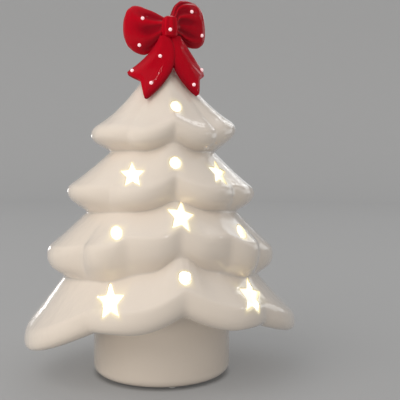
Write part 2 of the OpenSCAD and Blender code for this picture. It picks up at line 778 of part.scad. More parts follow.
module battery_left() {
    color("darkslategray")
    cell(bay_x0 + plate_t + spring_len, -cell_y);
}

module battery_right() {
    color("darkslategray")
    translate([2 * bay_x, 0, 0]) mirror([1, 0, 0]) cell(bay_x0 + plate_t + spring_len, cell_y);
}

// Contacts: two plates with solder tabs at the -X end and one long bridge at the +X end
module contact_plates() {
    color("silver")
    for (sy = [-1, 1]) {
        block([bay_x0, sy * cell_y - plate_w / 2, door_top_z + rib_h],
              [bay_x0 + plate_t, sy * cell_y + plate_w / 2, bay_top_z]);
        block([bay_x0, sy * cell_y - tab_w / 2, bay_top_z - over],
              [bay_x0 + plate_t, sy * cell_y + tab_w / 2, tab_z]);
    }
}

module contact_bridge() {
    color("silver")
    block([bay_x1 - plate_t, -cell_y - plate_w / 2, door_top_z + rib_h],
          [bay_x1, cell_y + plate_w / 2, bay_top_z]);
}

// A tube of n sides round a path of points, with a direction that the path never follows
function tube_ring(p, along, ref, r, n) =
    let (a = unit(cross(along, ref)), b = unit(cross(along, a)))
    [for (j = [0:n - 1]) p + r * (cos(360 * j / n) * a - sin(360 * j / n) * b)];

module tube(path, ref, r, n) {
    last = len(path) - 1;
    rings = [for (i = [0:last])
        tube_ring(path[i], path[min(i + 1, last)] - path[max(i - 1, 0)], ref, r, n)];
    skin([for (j = [0:n - 1]) [for (ring = rings) ring[j]]], path[0], path[last]);
}

// Conical contact spring along +X, wide on its plate and narrow on the cell
spring_turns = 2.5;
spring_wide_r = 3.2;
spring_narrow_r = 2;
turn_steps = 8;
spring_sides = 6;

module spring() {
    steps = spring_turns * turn_steps;
    path = [for (i = [0:steps])
        let (u = i / steps, r = spring_wide_r + (spring_narrow_r - spring_wide_r) * u,
             a = 360 * spring_turns * u)
        [spring_wire / 2 + (spring_len - spring_wire) * u, r * cos(a), r * sin(a)]];
    tube(path, [1, 0, 0], spring_wire / 2, spring_sides);
}

module contact_springs() {
    color("silver") {
        translate([bay_x0 + plate_t, -cell_y, cell_z]) spring();
        translate([bay_x1 - plate_t, cell_y, cell_z]) mirror([1, 0, 0]) spring();
    }
}

// Wires in the space over the bay: smooth curves through these points, with round numbers chosen by hand
wire_r = 0.6;
wire_sides = 8;
wire_ref = [1, 1, 0];
wire_z = ceiling_z + wire_r + gap;
tab_x = bay_x0 + plate_t;
red_route = [[tab_x, cell_y, wire_z], [tab_x + 6, cell_y, wire_z], [-12, 6, 20], [-5, 4, 21], [-2, 2, 23],
             [-1.5, 1.5, 26], [-1.5, 1.5, board_z]];
black_route = [[tab_x, -cell_y, wire_z], [tab_x + 5, -cell_y, wire_z], [-16, -9, 19], [-8, -15, 20],
               [terminal_x[0], switch_y + 1, 19], [terminal_x[0], switch_y, 16],
               [terminal_x[0], switch_y, terminal_top_z]];
board_route = [[terminal_x[2], switch_y, terminal_top_z], [terminal_x[2], switch_y, 16],
               [terminal_x[2], switch_y + 2, 20], [4, -10, 22], [2, -4, 23], [1.5, -1.5, 26],
               [1.5, -1.5, board_z]];
span_steps = 3;

// Catmull-Rom curve through the points of a route, with straight ends
function spline(a, b, c, d, u) =
    0.5 * (2 * b + (c - a) * u + (2 * a - 5 * b + 4 * c - d) * u * u + (3 * b - a - 3 * c + d) * u * u * u);
function smooth(route) =
    let (n = len(route))
    concat([for (i = [0:n - 2], k = [0:span_steps - 1])
                spline(route[max(i - 1, 0)], route[i], route[i + 1], route[min(i + 2, n - 1)],
                       k / span_steps)],
           [route[n - 1]]);

module red_wire() {
    color("red") tube(smooth(red_route), wire_ref, wire_r, wire_sides);
}

module black_wires() {
    color("black") {
        tube(smooth(black_route), wire_ref, wire_r, wire_sides);
        tube(smooth(board_route), wire_ref, wire_r, wire_sides);
    }
}

tree_body();
bow_loop_left();
bow_loop_right();
bow_knot();
bow_tail_left();
bow_tail_right();
bow_dots();
foot_pads();
light_base();
base_gasket();
light_cover();
cover_screws();
led_board();
leds();
light_dome();
switch_case();
switch_knob();
battery_door();
battery_left();
battery_right();
contact_bridge();
contact_plates();
contact_springs();
red_wire();
black_wires();
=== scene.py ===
"""A hollow glazed ceramic christmas tree with a red bow, lit from inside, on a plain studio floor."""

import bpy
import numpy as np
from bpy.props import FloatProperty, FloatVectorProperty
from mathutils import Matrix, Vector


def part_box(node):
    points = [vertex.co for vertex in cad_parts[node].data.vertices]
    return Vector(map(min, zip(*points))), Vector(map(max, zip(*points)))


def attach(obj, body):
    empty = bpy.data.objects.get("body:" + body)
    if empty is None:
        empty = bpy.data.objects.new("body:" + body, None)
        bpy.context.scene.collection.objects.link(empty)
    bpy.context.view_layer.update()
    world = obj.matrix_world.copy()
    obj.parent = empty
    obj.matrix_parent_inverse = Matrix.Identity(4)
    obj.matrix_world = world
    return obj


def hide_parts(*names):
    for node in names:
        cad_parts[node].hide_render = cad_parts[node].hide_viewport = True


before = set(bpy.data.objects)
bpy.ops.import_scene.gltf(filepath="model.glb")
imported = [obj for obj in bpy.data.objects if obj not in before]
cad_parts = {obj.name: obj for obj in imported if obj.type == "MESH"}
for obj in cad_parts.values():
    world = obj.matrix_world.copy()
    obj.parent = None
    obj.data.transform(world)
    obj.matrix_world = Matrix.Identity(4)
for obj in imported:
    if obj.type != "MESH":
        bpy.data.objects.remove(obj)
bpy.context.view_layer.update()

bl_info = {
    "name": "Ceramic christmas tree",
    "version": (1, 0, 0),
    "blender": (4, 5, 0),
    "location": "View3D > Sidebar > Ceramic tree",
    "description": "Glazed skirts with cut-outs, a red bow, the light unit's finishes and a studio",
    "category": "Add Mesh",
}

MM = 0.001
# The lamp in the hollow: its radius and its height over the dome, mm
LAMP_R, LAMP_RISE = 8, 10

# The swags of each skirt between the front (0) and the side (90 degrees), the same at the back. Each row has
# the azimuth, 1 for the middle of a lobe or 0 for a crease, and shares of the skirt's reach: rim radius, rim
# height above the side tip, neck radius under the rim, and neck depth below the side tip
SWAGS = (
    ((0, 0, 0.854, 0.069, 0.792, 0.119), (27, 1, 0.938, -0.087, 0.760, 0.265),
     (40.5, 0, 0.898, -0.062, 0.742, 0.258), (90, 1, 1, 0, 0.721, 0.271)),
    ((0, 0, 0.787, 0.135, 0.754, 0.026), (27, 1, 0.931, 0.011, 0.819, 0.154),
     (45, 0, 0.880, 0.016, 0.803, 0.170), (90, 1, 1, 0, 0.798, 0.202)),
    ((0, 0, 0.886, 0.270, 0.873, -0.164), (13.5, 1, 0.939, 0.177, 0.853, 0.034),
     (27, 0, 0.917, 0.177, 0.847, 0.067), (40.5, 1, 0.972, 0.091, 0.866, 0.127),
     (54, 0, 0.903, 0.073, 0.847, 0.140), (90, 1, 1, 0, 0.847, 0.169)),
    ((0, 0, 0.885, 0.365, 0.5, -0.254), (24, 1, 0.962, 0.238, 0.5, -0.232),
     (40.5, 0, 0.908, 0.222, 0.5, -0.232), (90, 1, 1, 0, 0.5, -0.199)),
)
# For each skirt: how far its right tip turns up and its left one down (share of the reach), the slope's way
# point (shares of its run and fall), and the lip above and below the rim (shares of the reach)
TURN = (0.040, -0.013, -0.013, 0.036)
VIA = ((0.47, 0.68), (0.47, 0.53), (0.48, 0.53), (0.46, 0.50))
LIP = ((0.083, 0.079), (0.051, 0.067), (0.061, 0.085), (0.072, 0.112))
# Where the slope passes into the lip and the lip into the underside: shares of the way between their corners
SHOULDER, TUCK = 0.8, 0.45
# Sideways lean of the top skirt, as a share of its reach
LEAN = 0.03
# Degrees over which a crease fades up the slope, and is rounded at the rim and at the neck
FADE = 8.0
RIM_SPREAD, NECK_SPREAD = 2.0, 7.0
SMOOTHING = np.array([1, 2, 2, 2, 1]) / 8
SKIRTS = 4
# Radius of the hollow's blunt top and rounding of the foot's corners, mm
APEX_R, CORNER_R = 0.4, 0.4

# How a skirt's profile is shared out: slope, upper lip, lower lip, underside
SLOPE_END, RIM_AT, TUCK_END = 0.50, 0.68, 0.86
SKIRT_ROWS = (22, 7, 7, 5)
COLUMNS = 360
STEP = 360 / COLUMNS
# Rows of the hollow, counted in corners of its profile, of which each skirt has four
CORNERS = 4
HOLLOW_ROWS = (0, 0.25, 0.5, 0.75, 1, 1.25, 1.5, 1.75, 2, 3)
HOLLOW_VALUES = np.array([CORNERS * t + v for t in range(SKIRTS) for v in HOLLOW_ROWS]
                         + [CORNERS * SKIRTS + v for v in (0, 0.5, 1)])
# The last outer rows, on the trunk and the foot, which are turned true
TRUE_ROWS = 18

# Cut-outs: skirt, knife's direction in degrees, shares of the skirt's reach for the place to the right of
# the middle and the rise above the side tips, and a star's tilt in degrees or None for a hole
CUTS = (
    (1, -8, -0.312, 0.200, -2), (1, 10, 0.358, 0.216, 12), (2, -2, 0.044, 0.386, 12),
    (3, -13, -0.279, 0.359, -10), (3, -1, 0.485, 0.355, 17),
    (0, 0, 0.076, 0.317, None), (1, 0, 0.006, 0.317, None), (2, -8, -0.378, 0.263, None),
    (2, 5, 0.485, 0.248, None), (3, 0, 0.007, 0.511, None),
)
STAR_WAIST = 0.46
HOLE_POINTS, STAR_POINTS = 60, 100
# The search for a cut-out on a skin: degrees to each side and columns of its first grid, the number of
# Newton's steps, the shifts in row value and degrees that give slopes, and the most grid rows and degrees
# of a step
SEARCH_SPAN, SEARCH_COLUMNS, NEWTON_STEPS = 42, 85, 12
ROW_SHIFT, TURN_SHIFT = 1e-4, 1e-3
MOST_ROWS, MOST_TURN = 4, 3
# Rings of a cut-out and their painted glow, the lamp's light painted on as emission: the fan from the lathe
# grid to its edge, turns over its soft edge, the wall, and the fan out to the hollow's grid
FAN = (0.14, 0.28, 0.42, 0.55, 0.68, 0.80, 0.91, 1.0)
FAN_PAINTED_GLOW = (0, 0, 0.01, 0.02, 0.035, 0.055, 0.085, 0.12)
BEVEL_TURNS = np.array([np.pi / 4, np.pi / 2])
BEVEL_PAINTED_GLOW = 0.14 + 0.08 * BEVEL_TURNS
WALL, WALL_PAINTED_GLOW = (0.3, 0.65), (0.8, 0.92)
HOLLOW_FAN = (1.0, 0.75, 0.45, 0.2)

# The bow. A loop's rows: share of its length, height, thickness, rise of the middle
LEFT_LOOP = (
    (0.08, 0.36, 0.58, 0), (0.10, 0.40, 0.60, 0), (0.20, 0.56, 0.50, -0.02), (0.34, 0.80, 0.60, -0.06),
    (0.50, 0.96, 0.88, -0.07), (0.68, 1, 1, -0.02), (0.83, 0.89, 0.92, 0.02), (0.94, 0.62, 0.66, 0.03),
    (0.985, 0.30, 0.36, 0.03), (1, 0, 0, 0.03))
RIGHT_LOOP = (
    (0.08, 0.38, 0.58, 0.04), (0.10, 0.42, 0.62, 0.04), (0.20, 0.64, 0.60, 0.09), (0.34, 0.88, 0.78, 0.08),
    (0.50, 0.98, 0.94, 0.05), (0.68, 0.98, 1, 0.02), (0.83, 0.90, 0.94, 0), (0.94, 0.68, 0.68, -0.01),
    (0.985, 0.34, 0.36, -0.02), (1, 0, 0, -0.02))
# The loops: rows, names of length, sweep and lift, whether it is mirrored, and number of pleats
LOOPS = {"left": (LEFT_LOOP, "left_len", "left_sweep", None, True, 7),
         "right": (RIGHT_LOOP, "right_len", "right_sweep", "right_lift", False, 11)}
# The knot's rows: share of its width and depth, and of its height
KNOT = (
    (0, 0.5), (0.58, 0.47), (0.84, 0.40), (0.96, 0.21), (1, 0), (0.97, -0.21), (0.88, -0.39), (0.62, -0.47),
    (0, -0.5))
# The tails: inner and outer edge, each a point at the knot, one that it is drawn towards and its tip, mm, and
# where across the tail its soft fold is
TAILS = {
    "left": (((2, -13, 221), (16, -12.5, 203), (-15.8, -23.8, 178)),
             ((-4, -11.5, 221), (-9, -11, 208), (-25.2, -6, 197)), 0.35),
    "right": (((3, -12, 221), (-2, -14, 201), (20.2, -18.6, 181.2)),
              ((9.5, -10.5, 221), (16.3, -10, 211.5), (28, 0, 198)), -0.05),
}
# Depth of the swallowtail notch and rounding of the tips, as shares of a tail's length
NOTCH = 0.09
TIP, TIP_POWER = 0.04, 10
# Soft ridges along a tail: height in mm, place across it from its fold, and width
RIDGES = ((0.8, 0, 0.28), (-0.5, 0.45, 0.22))
# Powers that square the rings of a loop (through it and upright), of the knot and of a tail (across, through)
LOOP_SQUARE, KNOT_SQUARE, TAIL_SQUARE = (0.85, 0.9), 0.85, (0.7, 0.55)
# Shares of a loop's length: where its rings begin, where its pleats are deepest and how far they fade
LOOP_START, PLEAT_AT, PLEAT_FADE = 0.08, 0.22, 0.32
# The knot's creases: their number and their depth as a share of its radius
CREASES, CREASE_DEPTH = 9, 0.035
# Dots on the loops: share of the length and degrees round it. On the tails: along and across. On the knot:
# shares of its width and height
LEFT_LOOP_DOTS = ((0.518, 151), (0.59, 217))
RIGHT_LOOP_DOTS = ((0.536, 152), (0.755, 205))
LEFT_TAIL_DOTS = ((0.49, 0.1), (0.93, 0.74), (0.88, -0.6))
RIGHT_TAIL_DOTS = ((0.88, 0.7), (0.88, -0.74))
KNOT_DOT = (-0.083, -0.166)
# Rings and points round each ring of a loop, the knot, a tail and a dot
LOOP_GRID, KNOT_GRID, TAIL_GRID, DOT_GRID = (64, 160), (48, 96), (56, 120), (14, 24)


def number(name, meaning, value):
    """A size or a strength in the sidebar."""
    return FloatProperty(name=name, description=meaning, default=value)


def numbers(name, meaning, values):
    """Several sizes under one name in the sidebar."""
    return FloatVectorProperty(name=name, description=meaning, size=len(values), default=values)


def tint(name, meaning, value):
    """A colour in the sidebar."""
    return FloatVectorProperty(name=name, description=meaning, subtype="COLOR", default=value)


class TreeSizes(bpy.types.PropertyGroup):
    """Driving sizes of the clay tree."""

    reach: numbers("Reach", "Reach of each skirt's side tips from the axis, mm", (48.0, 62.3, 75.6, 90.4))
    tip_z: numbers("Tip height", "Height of each skirt's side tips, mm", (159.7, 120.1, 79.1, 28.5))
    cone_top: number("Cone top", "Height where the cone ends in the peg, mm", 207.5)
    peg_r: number("Peg radius", "Radius of the peg behind the bow, mm", 5.2)
    peg_top: number("Peg top", "Height of the peg's round end, mm", 226.0)
    trunk_r: number("Trunk radius", "Radius of the trunk, mm", 45.6)
    wall: number("Wall", "Thickness of the fired clay, mm", 4.5)
    foot_edge: number("Foot edge", "Rounding of the trunk's bottom edge, mm", 6.0)
    foot_z: number("Foot height", "Height of the foot ring above the table, mm", 1.0)
    recess_r: number("Recess radius", "Radius of the recess in the foot, mm", 35.0)
    recess_d: number("Recess depth", "Depth of the recess in the foot, mm", 5.0)
    opening_r: number("Opening radius", "Radius of the opening in the foot, mm", 33.0)
    floor_t: number("Floor", "Thickness of the clay floor, mm", 5.0)
    star_r: numbers("Star radius", "Tip radius of the stars in each skirt, mm", (0.0, 7.6, 8.4, 8.8))
    hole_r: number("Hole radius", "Radius of the round holes, mm", 3.5)
    soft_edge: number("Soft edge", "Rounding of the glaze at a cut-out, mm", 0.9)
    wobble: number("Wobble", "Hand-finished unevenness of the clay, mm", 0.35)


class BowSizes(bpy.types.PropertyGroup):
    """Driving sizes of the bow."""

    centre: numbers("Knot", "Middle of the knot, mm", (2.7, -11.1, 226.6))
    left_len: number("Left loop", "Length of the left loop, mm", 32.0)
    right_len: number("Right loop", "Length of the right loop, mm", 29.5)
    loop_h: number("Loop height", "Height of a loop at its widest, mm", 31.0)
    loop_t: number("Loop thickness", "Thickness of a loop at its fullest, mm", 14.0)
    left_sweep: number("Left sweep", "Turn of the left loop round the cone, degrees", 31.0)
    right_sweep: number("Right sweep", "Turn of the right loop round the cone, degrees", 33.0)
    right_lift: number("Right lift", "Rise of the right loop, degrees", 9.0)
    knot: numbers("Knot size", "Width, depth and height of the knot, mm", (10.8, 13.0, 14.5))
    tail_t: number("Tail thickness", "Thickness of the ribbon tails, mm", 4.4)
    bulge: number("Tail bulge", "Bulge of a tail across its width, mm", 1.6)
    pleat: number("Pleats", "Depth of the pleats beside the knot, as a share", 0.13)
    dot_r: number("Dot radius", "Radius of the raised dots, mm", 1.15)


class Finishes(bpy.types.PropertyGroup):
    """Colours, lamp strengths and the strength of the painted glow."""

    white: tint("White glaze", "Colour of the white glaze", (0.80, 0.715, 0.63))
    pooled: tint("Pooled glaze", "Colour of the glaze where it pools", (0.72, 0.63, 0.53))
    red: tint("Red glaze", "Colour of the red glaze", (0.62, 0.0003, 0.012))
    # Painted shade: the darker red for the pleats' and creases' valleys and the tails' edges
    painted_shade_red: tint("Deep red", "Colour of thick red glaze", (0.27, 0.0002, 0.008))
    dot: tint("Dots", "Colour of the enamel dots", (0.95, 0.68, 0.71))
    lamp: tint("Lamp colour", "Colour of the light inside", (1.0, 0.84, 0.50))
    lamp_power: number("Lamp power", "Power of the light inside, W", 0.8)
    # Painted light: emission colours and strength with which the hollow and the cut-outs' edges shine in
    # place of the lamp's light
    painted_edge_glow: tint("Edge light", "Colour of light through a thin edge", (1.0, 0.84, 0.14))
    painted_hollow_glow: tint("Lit hollow", "Colour of light in the hollow", (1.0, 0.95, 0.78))
    hollow: tint("Bare clay", "Colour of the unglazed clay inside", (0.16, 0.13, 0.09))
    painted_glow_strength: number("Edge glow", "Strength of the light in the hollow", 1.1)
    floor: tint("Floor", "Colour of the floor", (0.28, 0.28, 0.28))
    backdrop: tint("Backdrop", "Colour of the far and raised parts of the floor", (0.33, 0.33, 0.33))


def circle(n):
    """n even angles round a circle."""
    return np.arange(n) * 2 * np.pi / n


def quad(a, b, c, u):
    """Quadratic curve from a to c, drawn towards b."""
    return a * (1 - u) ** 2 + 2 * b * u * (1 - u) + c * u ** 2


def fold(az):
    """Azimuth folded into the quarter between the front and the side."""
    a = np.abs((az + 180) % 360 - 180)
    return np.where(a > 90, 180 - a, a)


def wave(az, rows, column):
    """Quarter sines of the folded azimuth, level at the middle of a lobe and steep at a crease. An average of
    five neighbours rounds the creases a little at the rim (columns 2 and 3) and more at the neck."""
    width = RIM_SPREAD if column < 4 else NECK_SPREAD
    a = fold(az + width * np.arange(-2, 3).reshape(-1, *[1] * np.ndim(az)) / 2)
    table = np.array(rows, float)
    i = np.clip(np.searchsorted(table[:, 0], a, side="right") - 1, 0, len(rows) - 2)
    p, q = table[i], table[i + 1]
    u = (a - p[..., 0]) / (q[..., 0] - p[..., 0]) * np.pi / 2
    s = np.where(q[..., 1] > p[..., 1], np.sin(u), 1 - np.cos(u))
    return np.tensordot(SMOOTHING, p[..., column] + (q[..., column] - p[..., column]) * s, 1)


def rim(size, t, az):
    """Rim of skirt t as radius + i height, with the side tips turned up on the right and down on the left."""
    last = SWAGS[t][-2][0]
    u = np.clip((fold(az) - last) / (90 - last), 0, 1)
    turn = TURN[t] * np.sign(np.sin(np.radians(az))) * np.sin(u * np.pi / 2)
    return size.reach[t] * (wave(az, SWAGS[t], 2) + 1j * (wave(az, SWAGS[t], 3) + turn)) + 1j * size.tip_z[t]


def neck(size, t, az):
    """Neck under skirt t as radius + i height; the peg's foot for t = -1 and the trunk for the last skirt."""
    if t < 0:
        return np.full(np.shape(az), size.peg_r + 1j * size.cone_top)
    r = size.trunk_r if t == SKIRTS - 1 else size.reach[t] * wave(az, SWAGS[t], 4)
    return r + 1j * (size.tip_z[t] - size.reach[t] * wave(az, SWAGS[t], 5))


def skirt_corners(size, t, az):
    """Neck above, way point, upper and lower corner of the lip, rim and neck below of skirt t."""
    p, e, q = neck(size, t - 1, az), rim(size, t, az), neck(size, t, az)
    corner, low = e + 1j * LIP[t][0] * size.reach[t], e - 1j * LIP[t][1] * size.reach[t]
    soft = (rim(size, t, az - FADE) + 2 * e + rim(size, t, az + FADE)) / 4 + 1j * LIP[t][0] * size.reach[t]
    via = p.real + (soft.real - p.real) * VIA[t][0] + 1j * (p.imag + (soft.imag - p.imag) * VIA[t][1])
    return p, via, corner, e, low, q


def skirt(size, t, u, az):
    """Skirt t as radius + i height. u runs down the slope, over the upper and lower lip and in under it."""
    p, via, corner, e, low, q = skirt_corners(size, t, az)
    shoulder, tuck = via + (corner - via) * SHOULDER, low + (q - low) * TUCK
    a, b = np.clip(u / SLOPE_END, 0, 1), np.clip((u - SLOPE_END) / (RIM_AT - SLOPE_END), 0, 1)
    c, d = np.clip((u - RIM_AT) / (TUCK_END - RIM_AT), 0, 1), np.clip((u - TUCK_END) / (1 - TUCK_END), 0, 1)
    lower = np.where(u < TUCK_END, quad(e, low, tuck, c), tuck + (q - tuck) * d)
    upper = np.where(u < SLOPE_END, quad(p, via, shoulder, a), quad(shoulder, corner, e, b))
    return np.where(u < RIM_AT, upper, lower)


def place(size, line, az, wobble):
    """Turns radius + i height at an azimuth into a point, with the top skirt's lean and an inward wobble."""
    a, z = np.radians(az), line.imag
    low = neck(size, 0, np.array(90.0)).imag
    u = np.clip((size.cone_top - z) / (size.cone_top - low), 0, 1)
    lean = LEAN * size.reach[0] * np.sin(np.pi * u)
    uneven = np.sin(3 * a + z / 13) + np.sin(5 * a - z / 9 + 1) + np.sin(2 * a + z / 21 + 2)
    r = np.maximum(line.real - wobble * (uneven / 6 + 0.5), 0)
    return np.stack([r * np.sin(a) + lean, -r * np.cos(a), z + 0 * a], -1)


def draw_in(a, b, c, wall):
    """Corner b of a profile moved inwards until both of its sides lie one wall deep."""
    m, n = (1j * (a - b) / np.abs(b - a), 1j * (b - c) / np.abs(c - b))
    return b + wall * (m + n) / (1 + m.real * n.real + m.imag * n.imag)


def hollow_top(size):
    """Height of the hollow's top, under the cone's foot."""
    return size.cone_top + size.peg_r - size.wall * np.sqrt(2)


def inner_lines(size, az):
    """Corners of the hollow's profile from the top down, as radius + i height, one row for each."""
    line = [neck(size, -1, az)]
    for t in range(SKIRTS):
        p, via, corner, _, low, q = skirt_corners(size, t, az)
        line += [quad(p, via, via + (corner - via) * SHOULDER, 0.5), corner, low, q]
    floor = size.foot_z + size.recess_d + size.floor_t
    line.append(np.full(np.shape(az), size.trunk_r + 1j * floor))
    drawn = [draw_in(a, b, c, size.wall) for a, b, c in zip(line, line[1:], line[2:])]
    apex, end = APEX_R + 1j * (hollow_top(size) - APEX_R), size.trunk_r - size.wall + 1j * floor
    return np.stack([np.full(np.shape(az), apex), *drawn, np.full(np.shape(az), end)])


def hollow(size, v, az):
    """The hollow's profile, straight between its corners. v counts the corners from the top down."""
    rows = inner_lines(size, az)
    i = np.clip(np.floor(v).astype(int), 0, len(rows) - 2)
    p, q = (np.take_along_axis(rows, k[None], 0)[0] for k in np.broadcast_arrays(i, i + 1))
    return p + (q - p) * (v - i)


def seen(point, az):
    """A point as seen along a level line at an azimuth: distance to the right + i height."""
    a = np.radians(az)
    return point[..., 0] * np.cos(a) + point[..., 1] * np.sin(a) + 1j * point[..., 2]


def find_on(surface, rows, az, spots):
    """Row values and azimuths at which a surface shows these spots along level lines at an azimuth: the
    nearest points of a grid, then Newton's steps."""
    around = az + np.linspace(-SEARCH_SPAN, SEARCH_SPAN, SEARCH_COLUMNS)
    v, a = np.meshgrid(rows, around, indexing="ij")
    near = np.argmin(np.abs(seen(surface(v, a), az).reshape(-1, 1) - spots), axis=0)
    v, a = v.ravel()[near], a.ravel()[near]
    dv, da, most = ROW_SHIFT, TURN_SHIFT, (rows[1] - rows[0]) * MOST_ROWS
    for _ in range(NEWTON_STEPS):
        p = seen(surface(v, a), az)
        pv, pa = (seen(surface(v + dv, a), az) - p) / dv, (seen(surface(v, a + da), az) - p) / da
        det = (pv.conj() * pa).imag
        det = np.where(np.abs(det) < 1e-9, 1e-9, det)
        miss = spots - p
        v = np.clip(v + np.clip((miss.conj() * pa).imag / det, -most, most), rows.min(), rows.max())
        a = a + np.clip((pv.conj() * miss).imag / det, -MOST_TURN, MOST_TURN)
    return v, a


def outline(size, t, tilt, offset):
    """Outline of a cut-out as right + i up, clockwise from its top and moved outwards by offset: a circle, or
    a star turned by tilt with straight edges between its tips and waists and slightly softened corners."""
    if tilt is None:
        return (size.hole_r + offset) * 1j * np.exp(-1j * circle(HOLE_POINTS))
    corner = np.arange(11)
    r = size.star_r[t] * np.where(corner % 2 == 0, 1.0, STAR_WAIST)
    tips = r * 1j * np.exp(-1j * (corner * np.pi / 5 + np.radians(tilt)))
    p = np.interp(np.arange(STAR_POINTS) * 10 / STAR_POINTS, corner, tips)
    along = np.roll(p, -1) - np.roll(p, 1)
    p = p + offset * 1j * along / np.abs(along)
    return 0.25 * np.roll(p, 1) + 0.5 * p + 0.25 * np.roll(p, -1)


def border(top, bottom, left, right):
    """Grid rows and columns along a window's border, clockwise from the middle of its top."""
    down = 1 if bottom > top else -1
    mid = (left + right) // 2
    rows = [np.full(right - mid, top), np.arange(top, bottom, down), np.full(right - left, bottom),
            np.arange(bottom, top, -down), np.full(mid - left, top)]
    columns = [np.arange(mid, right), np.full(abs(bottom - top), right), np.arange(right, left, -1),
               np.full(abs(bottom - top), left), np.arange(left, mid)]
    return np.concatenate(rows), np.concatenate(columns)


def from_start(ring, places, whole):
    """The ring and the places of its edges' middles, rolled to begin with the first middle along the way."""
    middles = np.mod((places + np.append(places[1:], places[0] + whole)) / 2, whole)
    first = np.argmin(middles)
    return np.roll(ring, -first), np.roll(middles, -first)


def zip_rings(a, b, whole):
    """Triangles between two closed rings that run the same way. Each is its vertices and their places along
    a way of length whole."""
    (a, s), (b, t) = from_start(*a, whole), from_start(*b, whole)
    i, j = np.searchsorted(s, t, side="right") % len(a), np.searchsorted(t, s, side="left") % len(b)
    return np.concatenate([np.stack([a, b[j], np.roll(a, -1)], -1), np.stack([b, np.roll(b, -1), a[i]], -1)])


def window_round(count, row, column):
    """The window in a lathe grid of count rows that gives way to a cut-out with its edge at fractional rows
    and columns. Returns its top, bottom, left and right, the rows and columns along its border, and the
    places along the border beyond the edge's points, as seen from the edge's middle."""
    top, bottom = max(int(row.min()) - 1, 0), min(int(row.max()) + 2, count - 1)
    left, right = int(np.floor(column.min())) - 2, int(np.ceil(column.max())) + 2
    rows, columns = border(top, bottom, left, right)
    tall, wide = np.ptp(rows), np.ptp(columns)
    turn, around = (np.unwrap(np.arctan2((c - column.mean()) / wide, (row.mean() - r) / tall))
                    for r, c in ((row, column), (rows, columns)))
    laps, n = np.arange(-1, 2)[:, None], len(rows)
    beyond = np.interp(turn, (around + laps * 2 * np.pi).ravel(), (np.arange(n) + laps * n).ravel())
    return (top, bottom, left, right), rows, columns, np.maximum.accumulate(beyond)


def ring_quads(rings):
    """Quads between neighbouring closed rings of vertex numbers that run clockwise as seen from outside."""
    a, b = rings[:-1], rings[1:]
    return np.stack([a, b, np.roll(b, -1, 1), np.roll(a, -1, 1)], -1)


def cap(pole, ring):
    """Triangles between a pole and a ring of vertex numbers."""
    return np.stack([np.full(len(ring), pole), ring, np.roll(ring, -1)], -1)


def put_object(name, data):
    """An object in the scene, at the origin."""
    piece = bpy.data.objects.new(name, data)
    bpy.context.scene.collection.objects.link(piece)
    return piece


def make_mesh(name, points, quads, triangles):
    """A smooth mesh object from points in millimetres."""
    mesh = bpy.data.meshes.new(name)
    faces = quads.reshape(-1, 4).tolist() + triangles.reshape(-1, 3).tolist()
    mesh.from_pydata((points * MM).tolist(), [], faces)
    mesh.polygons.foreach_set("use_smooth", np.ones(len(faces), bool))
    mesh.update()
    return put_object(name, mesh)


def add_values(piece, name, values):
    """Stores one number for each vertex under a name that materials read."""
    layer = piece.data.attributes.new(name, "FLOAT", "POINT")
    layer.data.foreach_set("value", np.asarray(values, np.float32).ravel())


def capped(rings, first, last):
    """Points, quads and end triangles of a closed skin: rings of points between two poles."""
    rows, columns = rings.shape[:2]
    points = np.concatenate([rings.reshape(-1, 3), [first], [last]])
    ids = np.arange(rows * columns).reshape(rows, columns)
    caps = np.concatenate([cap(ids.size, ids[0]), cap(ids.size + 1, ids[-1])[:, [0, 2, 1]]])
    return points, ring_quads(ids).reshape(-1, 4), caps


def seat(piece, body, slot, material, *nodes):
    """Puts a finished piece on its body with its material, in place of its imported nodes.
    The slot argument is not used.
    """
    piece.data.materials.append(material)
    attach(piece, body)
    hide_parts(*nodes)


def peg_rows(size):
    """The peg's rows from its top down, as radius + i height."""
    turn = np.linspace(0.15, np.pi / 2, 7)
    dome = size.peg_r * np.sin(turn) + 1j * (size.peg_top - size.peg_r * (1 - np.cos(turn)))
    return [*dome, *(size.peg_r + 1j * np.linspace(size.peg_top - size.peg_r - 2, size.cone_top + 2, 5))]


def foot_rows(size):
    """The foot's rows, as radius + i height: round the trunk's edge, into the recess, through the opening and
    out over the clay floor."""
    z, edge, e = size.foot_z, size.foot_edge, CORNER_R
    turn = np.linspace(0, np.pi / 2, 7)[1:]
    rounding = size.trunk_r - edge * (1 - np.cos(turn)) + 1j * (z + edge * (1 - np.sin(turn)))
    up, floor = z + size.recess_d, z + size.recess_d + size.floor_t
    recess, opening, inside = size.recess_r, size.opening_r, size.trunk_r - size.wall
    corners = ((recess + e, z), (recess, z + e), (recess, up - e), (recess - e, up), (opening + e, up),
               (opening, up + e), (opening, floor - e), (opening + e, floor), (inside - e, floor))
    return [*rounding, *(r + 1j * h for r, h in corners)]


def shell_rows(size, az):
    """Rows of the clay shell from the outer top down, round the foot and up the hollow, as radius + i height.
    Returns the rows, the first row of each skirt, the number of outer rows and a skirt's row values."""
    flat = np.ones_like(az)
    ends = (0, SLOPE_END, RIM_AT, TUCK_END, 1)
    values = [np.linspace(a, b, n + 1)[:-1] for a, b, n in zip(ends, ends[1:], SKIRT_ROWS)]
    values = np.concatenate([*values, [1]])
    rows, starts = [row * flat for row in peg_rows(size)], []
    for t in range(SKIRTS):
        shared = 1 if t else 0
        starts.append(len(rows) - shared)
        rows += list(skirt(size, t, values[:, None], az[None]))[shared:]
    side = neck(size, SKIRTS - 1, az)
    trunk_end = size.trunk_r + 1j * (size.foot_z + size.foot_edge)
    rows += [side + (trunk_end - side) * u for u in (0.2, 0.5, 0.8, 1.0)]
    rows += [row * flat for row in foot_rows(size)]
    return np.stack(rows + list(hollow(size, HOLLOW_VALUES[::-1, None], az[None]))), starts, len(rows), values


